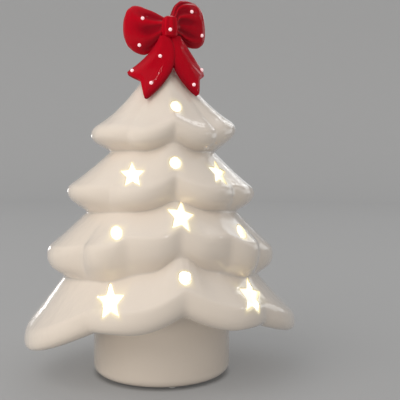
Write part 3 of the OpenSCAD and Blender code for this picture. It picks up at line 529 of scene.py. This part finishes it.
def cut_rings(size, cut, outside, inside):
    """One cut-out as closed rings: over its soft edge, through the wall and out on the hollow's side.
    Outside and inside are (function, row values, first grid row, step of grid rows). Returns the rings, their
    glow, which is painted light of the lamp, and the outer and the inner window: vertex numbers along its
    border, the rings' places along it, and the grid cells that it takes."""
    t, az, aside, rise, tilt = cut
    middle = size.reach[t] * (aside + 1j * rise) + 1j * size.tip_z[t]
    sight = np.array([-np.sin(np.radians(az)), np.cos(np.radians(az)), 0])

    def edge(surface, rows, offset):
        """The cut-out's outline on a skin."""
        return find_on(surface, rows, az, middle + outline(size, t, tilt, offset))

    def fan(side, offset, shares):
        """Rings between the outline and the window round it, straight between their places on the skin."""
        surface, rows, first, way = side
        v, a = edge(surface, rows, offset)
        row = np.interp(v, rows, np.arange(len(rows)))
        (top, bottom, left, right), i, j, k = window_round(len(rows), row, a / STEP)
        n = len(i)
        v0, a0 = (np.interp(k % n, np.arange(n + 1), np.append(p, p[0])) for p in (rows[i], j * STEP))
        cells = slice(*sorted((first + way * top, first + way * bottom))), np.arange(left, right) % COLUMNS
        return ([surface(v0 + (v - v0) * w, a0 + (a - a0) * w) for w in shares],
                ((first + way * i) * COLUMNS + j % COLUMNS, k, cells))

    near, near_window = fan(outside, size.soft_edge, FAN)
    far, far_window = fan(inside, 0, HOLLOW_FAN)
    bevel = [outside[0](*edge(*outside[:2], size.soft_edge * (1 - np.sin(turn))))
             + sight * size.soft_edge * (1 - np.cos(turn)) for turn in BEVEL_TURNS]
    wall = [bevel[-1] + (far[0] - bevel[-1]) * w for w in WALL]
    # Painted glow of each ring: faint outside round the edge, strong on the wall and full on the hollow's
    # side
    glow = np.concatenate([FAN_PAINTED_GLOW, BEVEL_PAINTED_GLOW, WALL_PAINTED_GLOW, np.ones(len(far))])
    return np.array(near + bevel + wall + far), glow, (near_window, far_window)


def clay_shell(size):
    """The whole tree as one closed skin: a lathe grid that waves with the azimuth and gives way to rings in a
    window round each cut-out. Returns points, quads, triangles and each point's glow: the painted light of
    the lamp, 1 in the hollow and rising round the cut-outs, which also turns the hollow to bare clay."""
    az = np.arange(COLUMNS) * STEP
    lines, starts, outer, values = shell_rows(size, az)
    last, per_skirt = len(lines) - 1, len(HOLLOW_ROWS)
    wobble = np.full((len(lines), 1), size.wobble)
    wobble[:starts[0]], wobble[outer - TRUE_ROWS:] = 0, 0
    grid = place(size, lines, np.broadcast_to(az, lines.shape), wobble)
    # Each point's glow: 1 in the hollow and 0 outside, for the bare clay and the painted light of the lamp
    points, glow = [grid.reshape(-1, 3)], [np.repeat(np.arange(len(lines)) >= outer, COLUMNS)]
    quads, triangles, count = [], [], lines.size
    taken = np.zeros((last, COLUMNS), bool)
    for cut in CUTS:
        t = cut[0]
        inner = HOLLOW_VALUES[per_skirt * t:per_skirt * (t + 1) - 1]
        outside = (lambda v, a: place(size, skirt(size, t, v, a), a, size.wobble), values, starts[t], 1)
        inside = (lambda v, a: place(size, hollow(size, v, a), a, 0), inner, last - per_skirt * t, -1)
        rings, ring_painted_glow, windows = cut_rings(size, cut, outside, inside)
        ids = count + np.arange(rings[..., 0].size).reshape(rings.shape[:2])
        count += ids.size
        points.append(rings.reshape(-1, 3))
        glow.append(np.repeat(ring_painted_glow, rings.shape[1]))
        quads.append(ring_quads(ids).reshape(-1, 4))
        for ring, way, (rim_ids, places, cells) in zip((ids[0], ids[-1]), (1, -1), windows):
            pair = ((rim_ids, np.arange(len(rim_ids))), (ring, places))[::way]
            triangles.append(zip_rings(*pair, len(rim_ids)))
            taken[cells] = True
    ids = np.arange(lines.size).reshape(lines.shape)
    quads.append(ring_quads(ids)[~taken])
    triangles += [cap(count, ids[0]), cap(count + 1, ids[-1])[:, [0, 2, 1]]]
    ends = (grid[0], size.peg_top), (grid[-1], hollow_top(size))
    points += [[row.mean(0) * [1, 1, 0] + [0, 0, z]] for row, z in ends]
    glow += [[0], [1]]
    return tuple(np.concatenate(part) for part in (points, quads, triangles, glow))


def power(x, p):
    """Signed power, which squares a circle's sides for p under 1."""
    return np.sign(x) * np.abs(x) ** p


def smooth_table(rows, s):
    """Columns of a table at s, with a cubic Hermite through its rows; the first column is the place."""
    table = np.array(rows, float)
    x, y = table[:, 0], table[:, 1:]
    slope = np.gradient(y, x, axis=0)
    i = np.clip(np.searchsorted(x, s, side="right") - 1, 0, len(x) - 2)
    h = (x[i + 1] - x[i])[..., None]
    u = ((s - x[i]) / h[..., 0])[..., None]
    return (y[i] * (1 + 2 * u) * (1 - u) ** 2 + slope[i] * h * u * (1 - u) ** 2
            + y[i + 1] * u ** 2 * (3 - 2 * u) + slope[i + 1] * h * u ** 2 * (u - 1))


def loop_points(bow, rows, length, s, a, pleats):
    """A loop along +X: a squared oval whose height, thickness and middle follow a table of its length s, with
    pleats as waves round it (angle a) that fade from the knot outwards."""
    height, thick, rise = np.moveaxis(smooth_table(rows, s), -1, 0)
    fade = np.exp(-(((s - PLEAT_AT) / PLEAT_FADE) ** 2))
    fine = np.cos(pleats * a + 0.6 * np.sin(2 * a)) * 0.7 + 0.3 * np.cos((2 * pleats - 3) * a + 1)
    pleat = 1 + bow.pleat * fade * (fine - 0.8)
    through, upright = LOOP_SQUARE
    y = pleat * thick * bow.loop_t / 2 * power(np.cos(a), through)
    z = (1 + (pleat - 1) * 0.4) * height * bow.loop_h / 2 * power(np.sin(a), upright) + rise * bow.loop_h
    return np.stack([s * length, y, z], -1), pleat


def turn_loop(bow, points, sweep, lift, flip):
    """Lifts a loop, sweeps it back round the cone, mirrors the left one and moves it to the knot."""
    lifted = (points[..., 0] + 1j * points[..., 2]) * np.exp(1j * np.radians(lift))
    swept = (lifted.real + 1j * points[..., 1]) * np.exp(1j * np.radians(sweep))
    x = -swept.real if flip else swept.real
    return np.stack([x, swept.imag, lifted.imag], -1) + np.array(bow.centre)


def loop_surface(bow, side, s, a):
    """Points of one loop in the tree's frame, and its pleats."""
    rows, length, sweep, lift, flip, pleats = LOOPS[side]
    points, pleat = loop_points(bow, rows, getattr(bow, length), s, a, pleats)
    return turn_loop(bow, points, getattr(bow, sweep), getattr(bow, lift) if lift else 0, flip), pleat


def loop_mesh(bow, side):
    """Closed skin of one loop: rings along it, closer together at its round end."""
    n, m = LOOP_GRID
    s = LOOP_START + (1 - LOOP_START) * np.sin(np.linspace(0, np.pi / 2, n)) ** 1.1
    points, pleat = loop_surface(bow, side, *np.meshgrid(s[:-1], circle(m), indexing="ij"))
    tip, _ = loop_surface(bow, side, 1.0, 0.0)
    way = -1 if side == "right" else 1
    # The pleat values also paint shade in the red: darker in the pleats' valleys
    return capped(points[:, ::way], points[0].mean(0), tip), np.append(pleat[:, ::way], [1, 1])


def knot_surface(bow, v, a):
    """The knot: a squared oval in plan whose width follows a table of height, with soft upright creases."""
    rows = np.array(KNOT)[::-1]
    width = np.interp(v, rows[:, 1], rows[:, 0])
    fade = np.clip(1 - (2 * v) ** 2, 0, 1)
    crease = 1 + CREASE_DEPTH * np.cos(CREASES * a) * fade
    x = crease * width * bow.knot[0] / 2 * power(np.sin(a), KNOT_SQUARE)
    y = -crease * width * bow.knot[1] / 2 * power(np.cos(a), KNOT_SQUARE)
    return np.stack([x + bow.centre[0], y + bow.centre[1], v * bow.knot[2] + bow.centre[2]], -1), crease


def knot_mesh(bow):
    """Closed skin of the knot from its top to its bottom."""
    n, m = KNOT_GRID
    height = 0.497 * np.cos(np.linspace(0.12, np.pi - 0.12, n))
    points, crease = knot_surface(bow, *np.meshgrid(height, circle(m), indexing="ij"))
    top, end = (np.array(bow.centre) + [0, 0, way * bow.knot[2] / 2] for way in (1, -1))
    # The crease values also paint shade in the red: darker in the creases' valleys
    return capped(points, top, end), np.append(crease, [1, 1])


def tail_surface(bow, side, u, w, front):
    """A ribbon between two edges. u runs along it, w across it from -1 to 1, and front is a point's distance
    in front of its middle sheet, which bulges and has soft ridges at its fold. It ends in a swallowtail."""
    inner, outer, fold_at = TAILS[side]
    u, w, front = (np.asarray(k, float) for k in (u, w, front))

    def edges(k):
        """Points of the two edges."""
        return (quad(*(np.array(p, float) for p in edge), k[..., None]) for edge in (inner, outer))

    p, q = edges(u * (1 - NOTCH * (1 - np.abs(w)) - TIP * np.abs(w) ** TIP_POWER))
    middle = (p + q) / 2 + (q - p) / 2 * w[..., None]
    (pa, qa), (pb, qb), (pm, qm) = edges(u + 0.01), edges(u - 0.01), edges(u)
    normal = np.cross(pa + qa - pb - qb, qm - pm)
    normal *= np.where(normal[..., 1:2] < 0, 1, -1) / np.linalg.norm(normal, axis=-1, keepdims=True)
    ridge = sum(height * np.exp(-(((w - fold_at - at) / wide) ** 2)) for height, at, wide in RIDGES)
    bulge = bow.bulge * (1 - w ** 2) + ridge * np.sin(np.pi * np.clip(u, 0, 1)) ** 0.7
    return middle + normal * (bulge * np.sin(np.pi / 2 * u) + front)[..., None]


def tail_mesh(bow, side):
    """Closed skin of a tail: flattened rings along it that round off at its swallowtail end."""
    n, m = TAIL_GRID
    u, k = np.meshgrid(np.sin(np.linspace(0, np.pi / 2, n)) ** 1.2, circle(m), indexing="ij")
    across, through = TAIL_SQUARE
    w = power(np.cos(k), across)
    front = power(np.sin(k), through) * bow.tail_t / 2 * np.sqrt(np.clip((1.02 - u) / 0.08, 0, 1))
    first, last = (tail_surface(bow, side, end, 0, 0) for end in (0, 1))
    way = -1 if side == "left" else 1
    # Painted shade: values that darken the red towards the tail's two edges
    shade = 1 - 0.1 * np.abs(w) ** 6
    points = tail_surface(bow, side, u, w, front)
    return capped(points[:, ::way], first, last), np.append(shade[:, ::way], [1, 1])


def dot_points(bow):
    """Middles of the raised dots on the bow's surfaces."""
    spots = [np.array(bow.centre) + np.array(bow.knot) * [KNOT_DOT[0], -0.5, KNOT_DOT[1]]]
    for side, dots in (("left", LEFT_LOOP_DOTS), ("right", RIGHT_LOOP_DOTS)):
        spots += [loop_surface(bow, side, s, np.radians(a))[0] for s, a in dots]
    for side, dots in (("left", LEFT_TAIL_DOTS), ("right", RIGHT_TAIL_DOTS)):
        spots += [tail_surface(bow, side, u, w, bow.tail_t / 2) for u, w in dots]
    return np.array(spots)


def ball_mesh(centres, radius):
    """Closed round balls at several points: one ball's grid repeated."""
    n, m = DOT_GRID
    v, a = np.meshgrid(np.linspace(0, np.pi, n)[1:-1], circle(m), indexing="ij")
    ring = np.stack([np.sin(v) * np.sin(a), -np.sin(v) * np.cos(a), np.cos(v)], -1) * radius
    points, quads, caps = capped(ring, [0, 0, radius], [0, 0, -radius])
    shift = np.arange(len(centres))[:, None, None] * len(points)
    return (centres[:, None] + points).reshape(-1, 3), quads + shift, caps + shift


def feed(tree, node, values):
    """Gives a node's inputs, by name or number, another node's output or a constant."""
    for key, value in values.items():
        if isinstance(value, bpy.types.NodeSocket):
            tree.links.new(value, node.inputs[key])
        else:
            node.inputs[key].default_value = value


def add(tree, kind, output, values=(), **settings):
    """One output of a new node with settings and inputs."""
    node = tree.nodes.new(kind)
    for key, value in settings.items():
        setattr(node, key, value)
    feed(tree, node, dict(values))
    return node.outputs[output]


def nodes_of(name):
    """A new material's node tree with its Principled shader."""
    material = bpy.data.materials.new(name)
    material.use_nodes = True
    return material, material.node_tree, material.node_tree.nodes["Principled BSDF"]


def mix(tree, factor, low, high):
    """Mixes two colours, each three numbers or a node's output, by another output."""
    low, high = (c if isinstance(c, bpy.types.NodeSocket) else (*c, 1) for c in (low, high))
    return add(tree, "ShaderNodeMix", "Result", {"Factor": factor, "A": low, "B": high}, data_type="RGBA")


def spread(tree, value, low, high, to_low=0.0, to_high=1.0):
    """Maps an output from one range to another."""
    return add(tree, "ShaderNodeMapRange", "Result", {"Value": value, "From Min": low, "From Max": high,
                                                      "To Min": to_low, "To Max": to_high})


def maths(tree, operation, a, b):
    """A sum or a product of two outputs or constants."""
    return add(tree, "ShaderNodeMath", "Value", {0: a, 1: b}, operation=operation)


def attribute(tree, name):
    """A number that the mesh stores for each vertex."""
    return add(tree, "ShaderNodeAttribute", "Fac", attribute_name=name)


def noise(tree, scale, detail=2):
    """Noise on Object coordinates; scale is waves a metre."""
    place_at = add(tree, "ShaderNodeTexCoord", "Object")
    return add(tree, "ShaderNodeTexNoise", "Fac", {"Vector": place_at, "Scale": scale, "Detail": detail})


def bump(tree, height, strength, distance):
    """Normals of a bump whose height is in metres."""
    values = {"Height": height, "Strength": strength, "Distance": distance}
    return add(tree, "ShaderNodeBump", "Normal", values)


def white_glaze(finish):
    """Thick warm white glaze, slightly darker in clouds, with a ripple of its surface. Its "glow" value, 0
    outside and 1 in the hollow, turns the hollow to bare clay and paints the lamp's light on as emission:
    painted light in the hollow and on the cut-outs' walls, and a faint painted halo round their edges
    outside."""
    material, tree, shader = nodes_of("white_glaze")
    half_pooled = [(a + b) / 2 for a, b in zip(finish.white, finish.pooled)]
    outside = mix(tree, noise(tree, 28), finish.white, half_pooled)
    glow = attribute(tree, "glow")
    ripple = maths(tree, "ADD", noise(tree, 110), noise(tree, 36, 1))
    feed(tree, shader, {
        "Base Color": mix(tree, spread(tree, glow, 0.3, 0.8), outside, finish.hollow),
        "Roughness": 0.2, "Specular IOR Level": 0.2, "Coat Weight": 1.0, "Coat Roughness": 0.03,
        # Painted light: emission by the glow value, full in the hollow, strong on the cut-outs' walls, faint
        # round their edges outside
        "Emission Color": mix(tree, glow, finish.painted_edge_glow, finish.painted_hollow_glow),
        "Emission Strength": maths(tree, "MULTIPLY", glow, finish.painted_glow_strength),
        "Normal": bump(tree, noise(tree, 70), 0.25, 0.5 * MM),
        "Coat Normal": bump(tree, ripple, 0.6, 0.8 * MM),
    })
    return material


def red_glaze(finish):
    """Deep red glaze with painted shade, darker in the valleys of the loops' pleats and the knot's creases
    and towards the tails' edges, mottled at random, with a fine ripple.
    """
    material, tree, shader = nodes_of("red_glaze")
    # Painted shade: the stored values darken the red in the pleats' and creases' valleys and at the tails'
    # edges
    thin = spread(tree, attribute(tree, "pleat"), 0.90, 1.06)
    thin = maths(tree, "MULTIPLY", thin, spread(tree, noise(tree, 90), 0.0, 1.0, 0.75))
    feed(tree, shader, {
        "Base Color": mix(tree, thin, finish.painted_shade_red, finish.red),
        "Roughness": 0.3, "Specular IOR Level": 0.0,
        "Coat Weight": 1.0, "Coat IOR": 1.25, "Coat Roughness": 0.04,
        "Normal": bump(tree, noise(tree, 90), 0.4, 0.6 * MM),
        "Coat Normal": bump(tree, noise(tree, 200, 3), 0.5, 0.5 * MM),
    })
    return material


def mottled(name, colour, dark, scale, detail, values):
    """A material whose colour wanders to a darker share of itself, with the shader's other inputs by name.
    Returns the material, its node tree and its shader."""
    material, tree, shader = nodes_of(name)
    cloud = mix(tree, noise(tree, scale, detail), colour, [dark * c for c in colour])
    feed(tree, shader, {"Base Color": cloud, **values})
    return material, tree, shader


def white_enamel(finish):
    """Raised enamel dots with a faint mottle and a painted pink glow: an emission that lightens them all
    over.
    """
    return mottled("white_enamel", finish.dot, 0.92, 600, 2, {
        # Painted light: a pink emission that lightens the dots, their shaded sides too
        "Roughness": 0.35, "Emission Color": (1.0, 0.66, 0.70, 1), "Emission Strength": 0.42})[0]


def moulded(name, colour, roughness):
    """Moulded plastic or rubber with a fine grain and a faint change of tone."""
    material, tree, shader = mottled(name, colour, 0.88, 60, 2, {"Roughness": roughness})
    feed(tree, shader, {"Normal": bump(tree, noise(tree, 900, 4), 0.4, 0.05 * MM)})
    return material


def plated(name, colour, roughness):
    """Nickel-plated steel with fine streaks."""
    return mottled(name, colour, 0.8, 800, 4, {"Metallic": 1.0, "Roughness": roughness})[0]


def glowing(name, colour, roughness, glow, strength):
    """A lit translucent piece: frosted plastic or a lens that shines in its own colour."""
    return mottled(name, colour, 0.94, 400, 2, {
        "Roughness": roughness, "Emission Color": (*glow, 1), "Emission Strength": strength})[0]


class TREE_OT_body(bpy.types.Operator):
    """Makes the glazed clay tree with its cut-outs"""

    bl_idname = "tree.body"
    bl_label = "Clay tree"

    def execute(self, context):
        size = context.scene.tree_sizes
        points, quads, caps, glow = clay_shell(size)
        piece = make_mesh("glazed_tree", points, quads, caps)
        # The glow values give the bare clay inside and the painted light of the lamp on the hollow and the
        # cut-outs
        add_values(piece, "glow", glow)
        seat(piece, "tree", "white_glaze", white_glaze(context.scene.tree_finishes), "tree_body")
        return {"FINISHED"}


class TREE_OT_bow(bpy.types.Operator):
    """Makes the bow: two loops, the knot, two tails and the raised dots"""

    bl_idname = "tree.bow"
    bl_label = "Bow"

    def execute(self, context):
        bow, finish = context.scene.bow_sizes, context.scene.tree_finishes
        red = red_glaze(finish)
        made = [("glazed_loop_left", "bow_loop_left", loop_mesh(bow, "left")),
                ("glazed_loop_right", "bow_loop_right", loop_mesh(bow, "right")),
                ("glazed_knot", "bow_knot", knot_mesh(bow)),
                ("glazed_tail_left", "bow_tail_left", tail_mesh(bow, "left")),
                ("glazed_tail_right", "bow_tail_right", tail_mesh(bow, "right"))]
        for name, node, (skin, shade) in made:
            piece = make_mesh(name, *skin)
            # The stored values paint shade in the red glaze
            add_values(piece, "pleat", shade)
            seat(piece, "tree", "red_glaze", red, node)
        dots = make_mesh("enamel_dots", *ball_mesh(dot_points(bow), bow.dot_r))
        seat(dots, "tree", "white_enamel", white_enamel(finish), "bow_dots")
        return {"FINISHED"}


class TREE_OT_light_unit(bpy.types.Operator):
    """Gives the light unit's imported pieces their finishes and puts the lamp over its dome"""

    bl_idname = "tree.light_unit"
    bl_label = "Light unit"

    def execute(self, context):
        finish = context.scene.tree_finishes
        warm = tuple(finish.lamp)
        white = moulded("white_plastic", (0.80, 0.80, 0.77), 0.45)
        looks = {
            "foot_pads": moulded("clear_silicone", (0.72, 0.73, 0.72), 0.35),
            "base_gasket": moulded("gasket_silicone", (0.75, 0.76, 0.75), 0.35),
            "light_base": white, "light_cover": white, "battery_door": white,
            "cover_screws": plated("screw_steel", (0.62, 0.61, 0.58), 0.3),
            "led_board": moulded("board_mask", (0.02, 0.16, 0.06), 0.25),
            "leds": glowing("led_lens", (1.0, 0.9, 0.65), 0.1, warm, 12.0),
            "light_dome": glowing("frosted_dome", (0.95, 0.92, 0.85), 0.5, warm, 6.0),
            "switch_case": moulded("switch_black", (0.03, 0.03, 0.03), 0.4),
            "switch_knob": moulded("knob_black", (0.02, 0.02, 0.02), 0.35),
            "battery_left": moulded("cell_sleeve", (0.05, 0.06, 0.08), 0.25),
            "battery_right": moulded("cell_sleeve_two", (0.05, 0.06, 0.08), 0.25),
            "contact_bridge": plated("bridge_plate", (0.65, 0.64, 0.60), 0.25),
            "contact_plates": plated("tab_plate", (0.65, 0.64, 0.60), 0.25),
            "contact_springs": plated("spring_wire", (0.60, 0.60, 0.58), 0.2),
            "red_wire": moulded("red_sleeve", (0.45, 0.02, 0.02), 0.35),
            "black_wires": moulded("black_sleeve", (0.015, 0.015, 0.015), 0.35),
        }
        for node, material in looks.items():
            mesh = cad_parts[node].data
            mesh.materials.clear()
            mesh.materials.append(material)
        lamp = bpy.data.lights.new("lamp", "POINT")
        lamp.energy, lamp.color, lamp.shadow_soft_size = finish.lamp_power, warm, LAMP_R * MM
        holder = put_object("lamp", lamp)
        holder.location.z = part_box("light_dome")[1].z + LAMP_RISE * MM
        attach(holder, "light_unit")
        return {"FINISHED"}


# The studio's softboxes: bearing from behind the tree (right is positive) and elevation in degrees, distance,
# width and height in mm, radiance, colour, and whether the glaze mirrors them or they only light it
PLAIN, COOL, WARM = (1.0, 1.0, 1.0), (0.96, 0.99, 1.0), (1.0, 0.98, 0.96)
SOFTBOXES = {
    "key": (-130, 40, 2000, 1600, 1600, 2.2, (1.0, 0.965, 0.93), False),
    "left_fill": (-75, 15, 2000, 1200, 1200, 2.2, (1.0, 0.98, 0.95), False),
    "front_fill": (160, 15, 2000, 1600, 1400, 0.45, (1.0, 0.99, 0.98), False),
    "right_fill": (90, 30, 2000, 1600, 1400, 0.6, (1.0, 0.99, 0.98), False),
    "low_fill": (-140, 4, 2000, 1600, 300, 4.6, (1.0, 0.90, 0.76), False),
    "right_window": (45, 27, 1800, 720, 760, 0.9, COOL, True),
    "window_edge": (56, 27, 1780, 16, 700, 7.0, PLAIN, True),
    "window_bar": (39, 27, 1780, 14, 700, 6.0, PLAIN, True),
    "right_back": (18, 14, 1800, 900, 600, 0.45, COOL, True),
    "right_side": (84, 26, 1800, 360, 420, 0.9, COOL, True),
    "right_front": (105, 29, 1700, 50, 200, 18.0, PLAIN, True),
    "right_low": (72, 7, 1700, 900, 600, 0.9, COOL, True),
    "left_strip": (-16, -2, 1800, 200, 260, 2.2, WARM, True),
    "back_panel": (28, 52, 1900, 900, 500, 1.5, WARM, True),
    "front_strip": (178, 46, 1500, 30, 260, 20.0, WARM, True),
}
LIGHT_AIM = (0, 0, 130)
SKY, SKY_STRENGTH = (0.98, 0.99, 1.0, 1), 0.55
# The floor's flat rings, the radius of the curve behind them and the heights of the wall above it, mm
FLAT_RINGS = (30, 200, 600, 1200, 1800)
CURVE_R = 700
WALL_TOPS = (1500, 2600)
# The camera: its place in mm, its turns in degrees, and its lens and picture width in mm
CAMERA_PLACE = (-79.43, -459.86, 143.5)
CAMERA_YAW, CAMERA_PITCH, CAMERA_ROLL = -12.89, 3.5, 0.34
LENS, PICTURE = 63.0, 36.0


def aim_matrix(place_at, back, up):
    """World matrix of an object at a point whose local +Z is back and whose local +Y leans to up."""
    back = np.array(back, float) / np.linalg.norm(back)
    right = np.cross(up, back)
    right /= np.linalg.norm(right)
    whole = np.eye(4)
    whole[:3, :3], whole[:3, 3] = np.stack([right, np.cross(back, right), back], 1), place_at
    return Matrix(whole.tolist())


def studio_paper(finish, foot):
    """Pale paper, a little lighter far away, that shines faintly to stay evenly bright, and less so under a
    foot
    of that radius: a painted contact shadow.
    """
    material, tree, shader = nodes_of("studio_paper")
    spot = add(tree, "ShaderNodeTexCoord", "Object")
    away = add(tree, "ShaderNodeVectorMath", "Value", {0: spot}, operation="LENGTH")
    feed(tree, shader, {
        "Base Color": mix(tree, spread(tree, away, 0.3, 1.8), finish.floor, finish.backdrop),
        "Roughness": 0.9, "Specular IOR Level": 0.1, "Emission Color": (1, 1, 1, 1),
        # Painted contact shadow: the paper's emission drops under the tree's foot
        "Emission Strength": spread(tree, away, foot - 3 * MM, foot + 1 * MM, 0.04, 0.14),
    })
    return material


def make_floor(material):
    """A round floor that curves up into a wall all round."""
    turn = np.linspace(0, np.pi / 2, 17)[1:]
    wall_r = FLAT_RINGS[-1] + CURVE_R
    r = np.concatenate([FLAT_RINGS, FLAT_RINGS[-1] + CURVE_R * np.sin(turn), [wall_r] * len(WALL_TOPS)])
    z = np.concatenate([[0] * len(FLAT_RINGS), CURVE_R * (1 - np.cos(turn)), WALL_TOPS])
    a = circle(96)
    rings = np.stack([r[:, None] * np.sin(a), -r[:, None] * np.cos(a), z[:, None] + 0 * a], -1)[::-1]
    points, quads, caps = capped(rings, [0, 0, WALL_TOPS[-1]], [0, 0, 0])
    floor = make_mesh("floor", points, quads[:, ::-1], caps[len(a):, ::-1])
    floor.data.materials.append(material)


def make_softbox(name, bearing, rise, distance, width, height, radiance, colour, mirrored):
    """An area light that faces the tree, and that the glaze either mirrors or is lit by."""
    light = bpy.data.lights.new(name, "AREA")
    light.shape, light.size, light.size_y = "RECTANGLE", width * MM, height * MM
    light.energy, light.color = radiance * np.pi * light.size * light.size_y, colour
    b, e = np.radians([bearing, rise])
    back = np.array([np.sin(b) * np.cos(e), np.cos(b) * np.cos(e), np.sin(e)])
    place_at = (np.array(LIGHT_AIM) + distance * back) * MM
    holder = put_object(name, light)
    holder.matrix_world = aim_matrix(place_at, back, (0, 0, 1))
    holder.visible_glossy = mirrored
    holder.visible_diffuse = not mirrored
    holder.visible_camera = False


def make_sky():
    """An even pale sky."""
    world = bpy.data.worlds.new("sky")
    world.use_nodes = True
    feed(world.node_tree, world.node_tree.nodes["Background"], {"Color": SKY, "Strength": SKY_STRENGTH})
    return world


def make_camera():
    """The camera that took the photograph."""
    yaw, pitch, roll = np.radians([CAMERA_YAW, CAMERA_PITCH, CAMERA_ROLL])
    level = np.array([-np.sin(yaw), np.cos(yaw), 0])
    side, up = np.array([level[1], -level[0], 0]), np.array([0, 0, 1.0])
    ahead = level * np.cos(pitch) - up * np.sin(pitch)
    top = up * np.cos(pitch) + level * np.sin(pitch)
    camera = bpy.data.cameras.new("camera")
    camera.lens, camera.sensor_width, camera.clip_end = LENS, PICTURE, 50.0
    holder = put_object("camera", camera)
    upright = -side * np.sin(roll) + top * np.cos(roll)
    holder.matrix_world = aim_matrix(np.array(CAMERA_PLACE) * MM, -ahead, upright)
    return holder


class TREE_OT_studio(bpy.types.Operator):
    """Sets up the floor with its curved backdrop, the softboxes, the sky and the camera"""

    bl_idname = "tree.studio"
    bl_label = "Studio"

    def execute(self, context):
        scene = context.scene
        make_floor(studio_paper(scene.tree_finishes, scene.tree_sizes.trunk_r * MM))
        for name, settings in SOFTBOXES.items():
            make_softbox(name, *settings)
        scene.world = make_sky()
        scene.camera = make_camera()
        scene.view_settings.view_transform = "Standard"
        return {"FINISHED"}


class TREE_PT_panel(bpy.types.Panel):
    """Lists the tree's pieces in the sidebar"""

    bl_idname = "TREE_PT_panel"
    bl_label = "Ceramic tree"
    bl_space_type = "VIEW_3D"
    bl_region_type = "UI"
    bl_category = "Ceramic tree"

    def draw(self, context):
        for operator in OPERATORS:
            self.layout.operator(operator.bl_idname)
        for group in (context.scene.tree_sizes, context.scene.bow_sizes, context.scene.tree_finishes):
            box = self.layout.box()
            for name in group.bl_rna.properties.keys():
                if name not in {"rna_type", "name"}:
                    box.prop(group, name)


OPERATORS = (TREE_OT_studio, TREE_OT_body, TREE_OT_bow, TREE_OT_light_unit)
GROUPS = {"tree_sizes": TreeSizes, "bow_sizes": BowSizes, "tree_finishes": Finishes}


def register():
    for cls in (*GROUPS.values(), *OPERATORS, TREE_PT_panel):
        bpy.utils.register_class(cls)
    for name, group in GROUPS.items():
        setattr(bpy.types.Scene, name, bpy.props.PointerProperty(type=group))


def unregister():
    for name in GROUPS:
        delattr(bpy.types.Scene, name)
    for cls in reversed((*GROUPS.values(), *OPERATORS, TREE_PT_panel)):
        bpy.utils.unregister_class(cls)


def main():
    """Makes the studio and every piece."""
    register()
    bpy.ops.tree.studio()
    bpy.ops.tree.body()
    bpy.ops.tree.bow()
    bpy.ops.tree.light_unit()


if __name__ == "__main__":
    main()
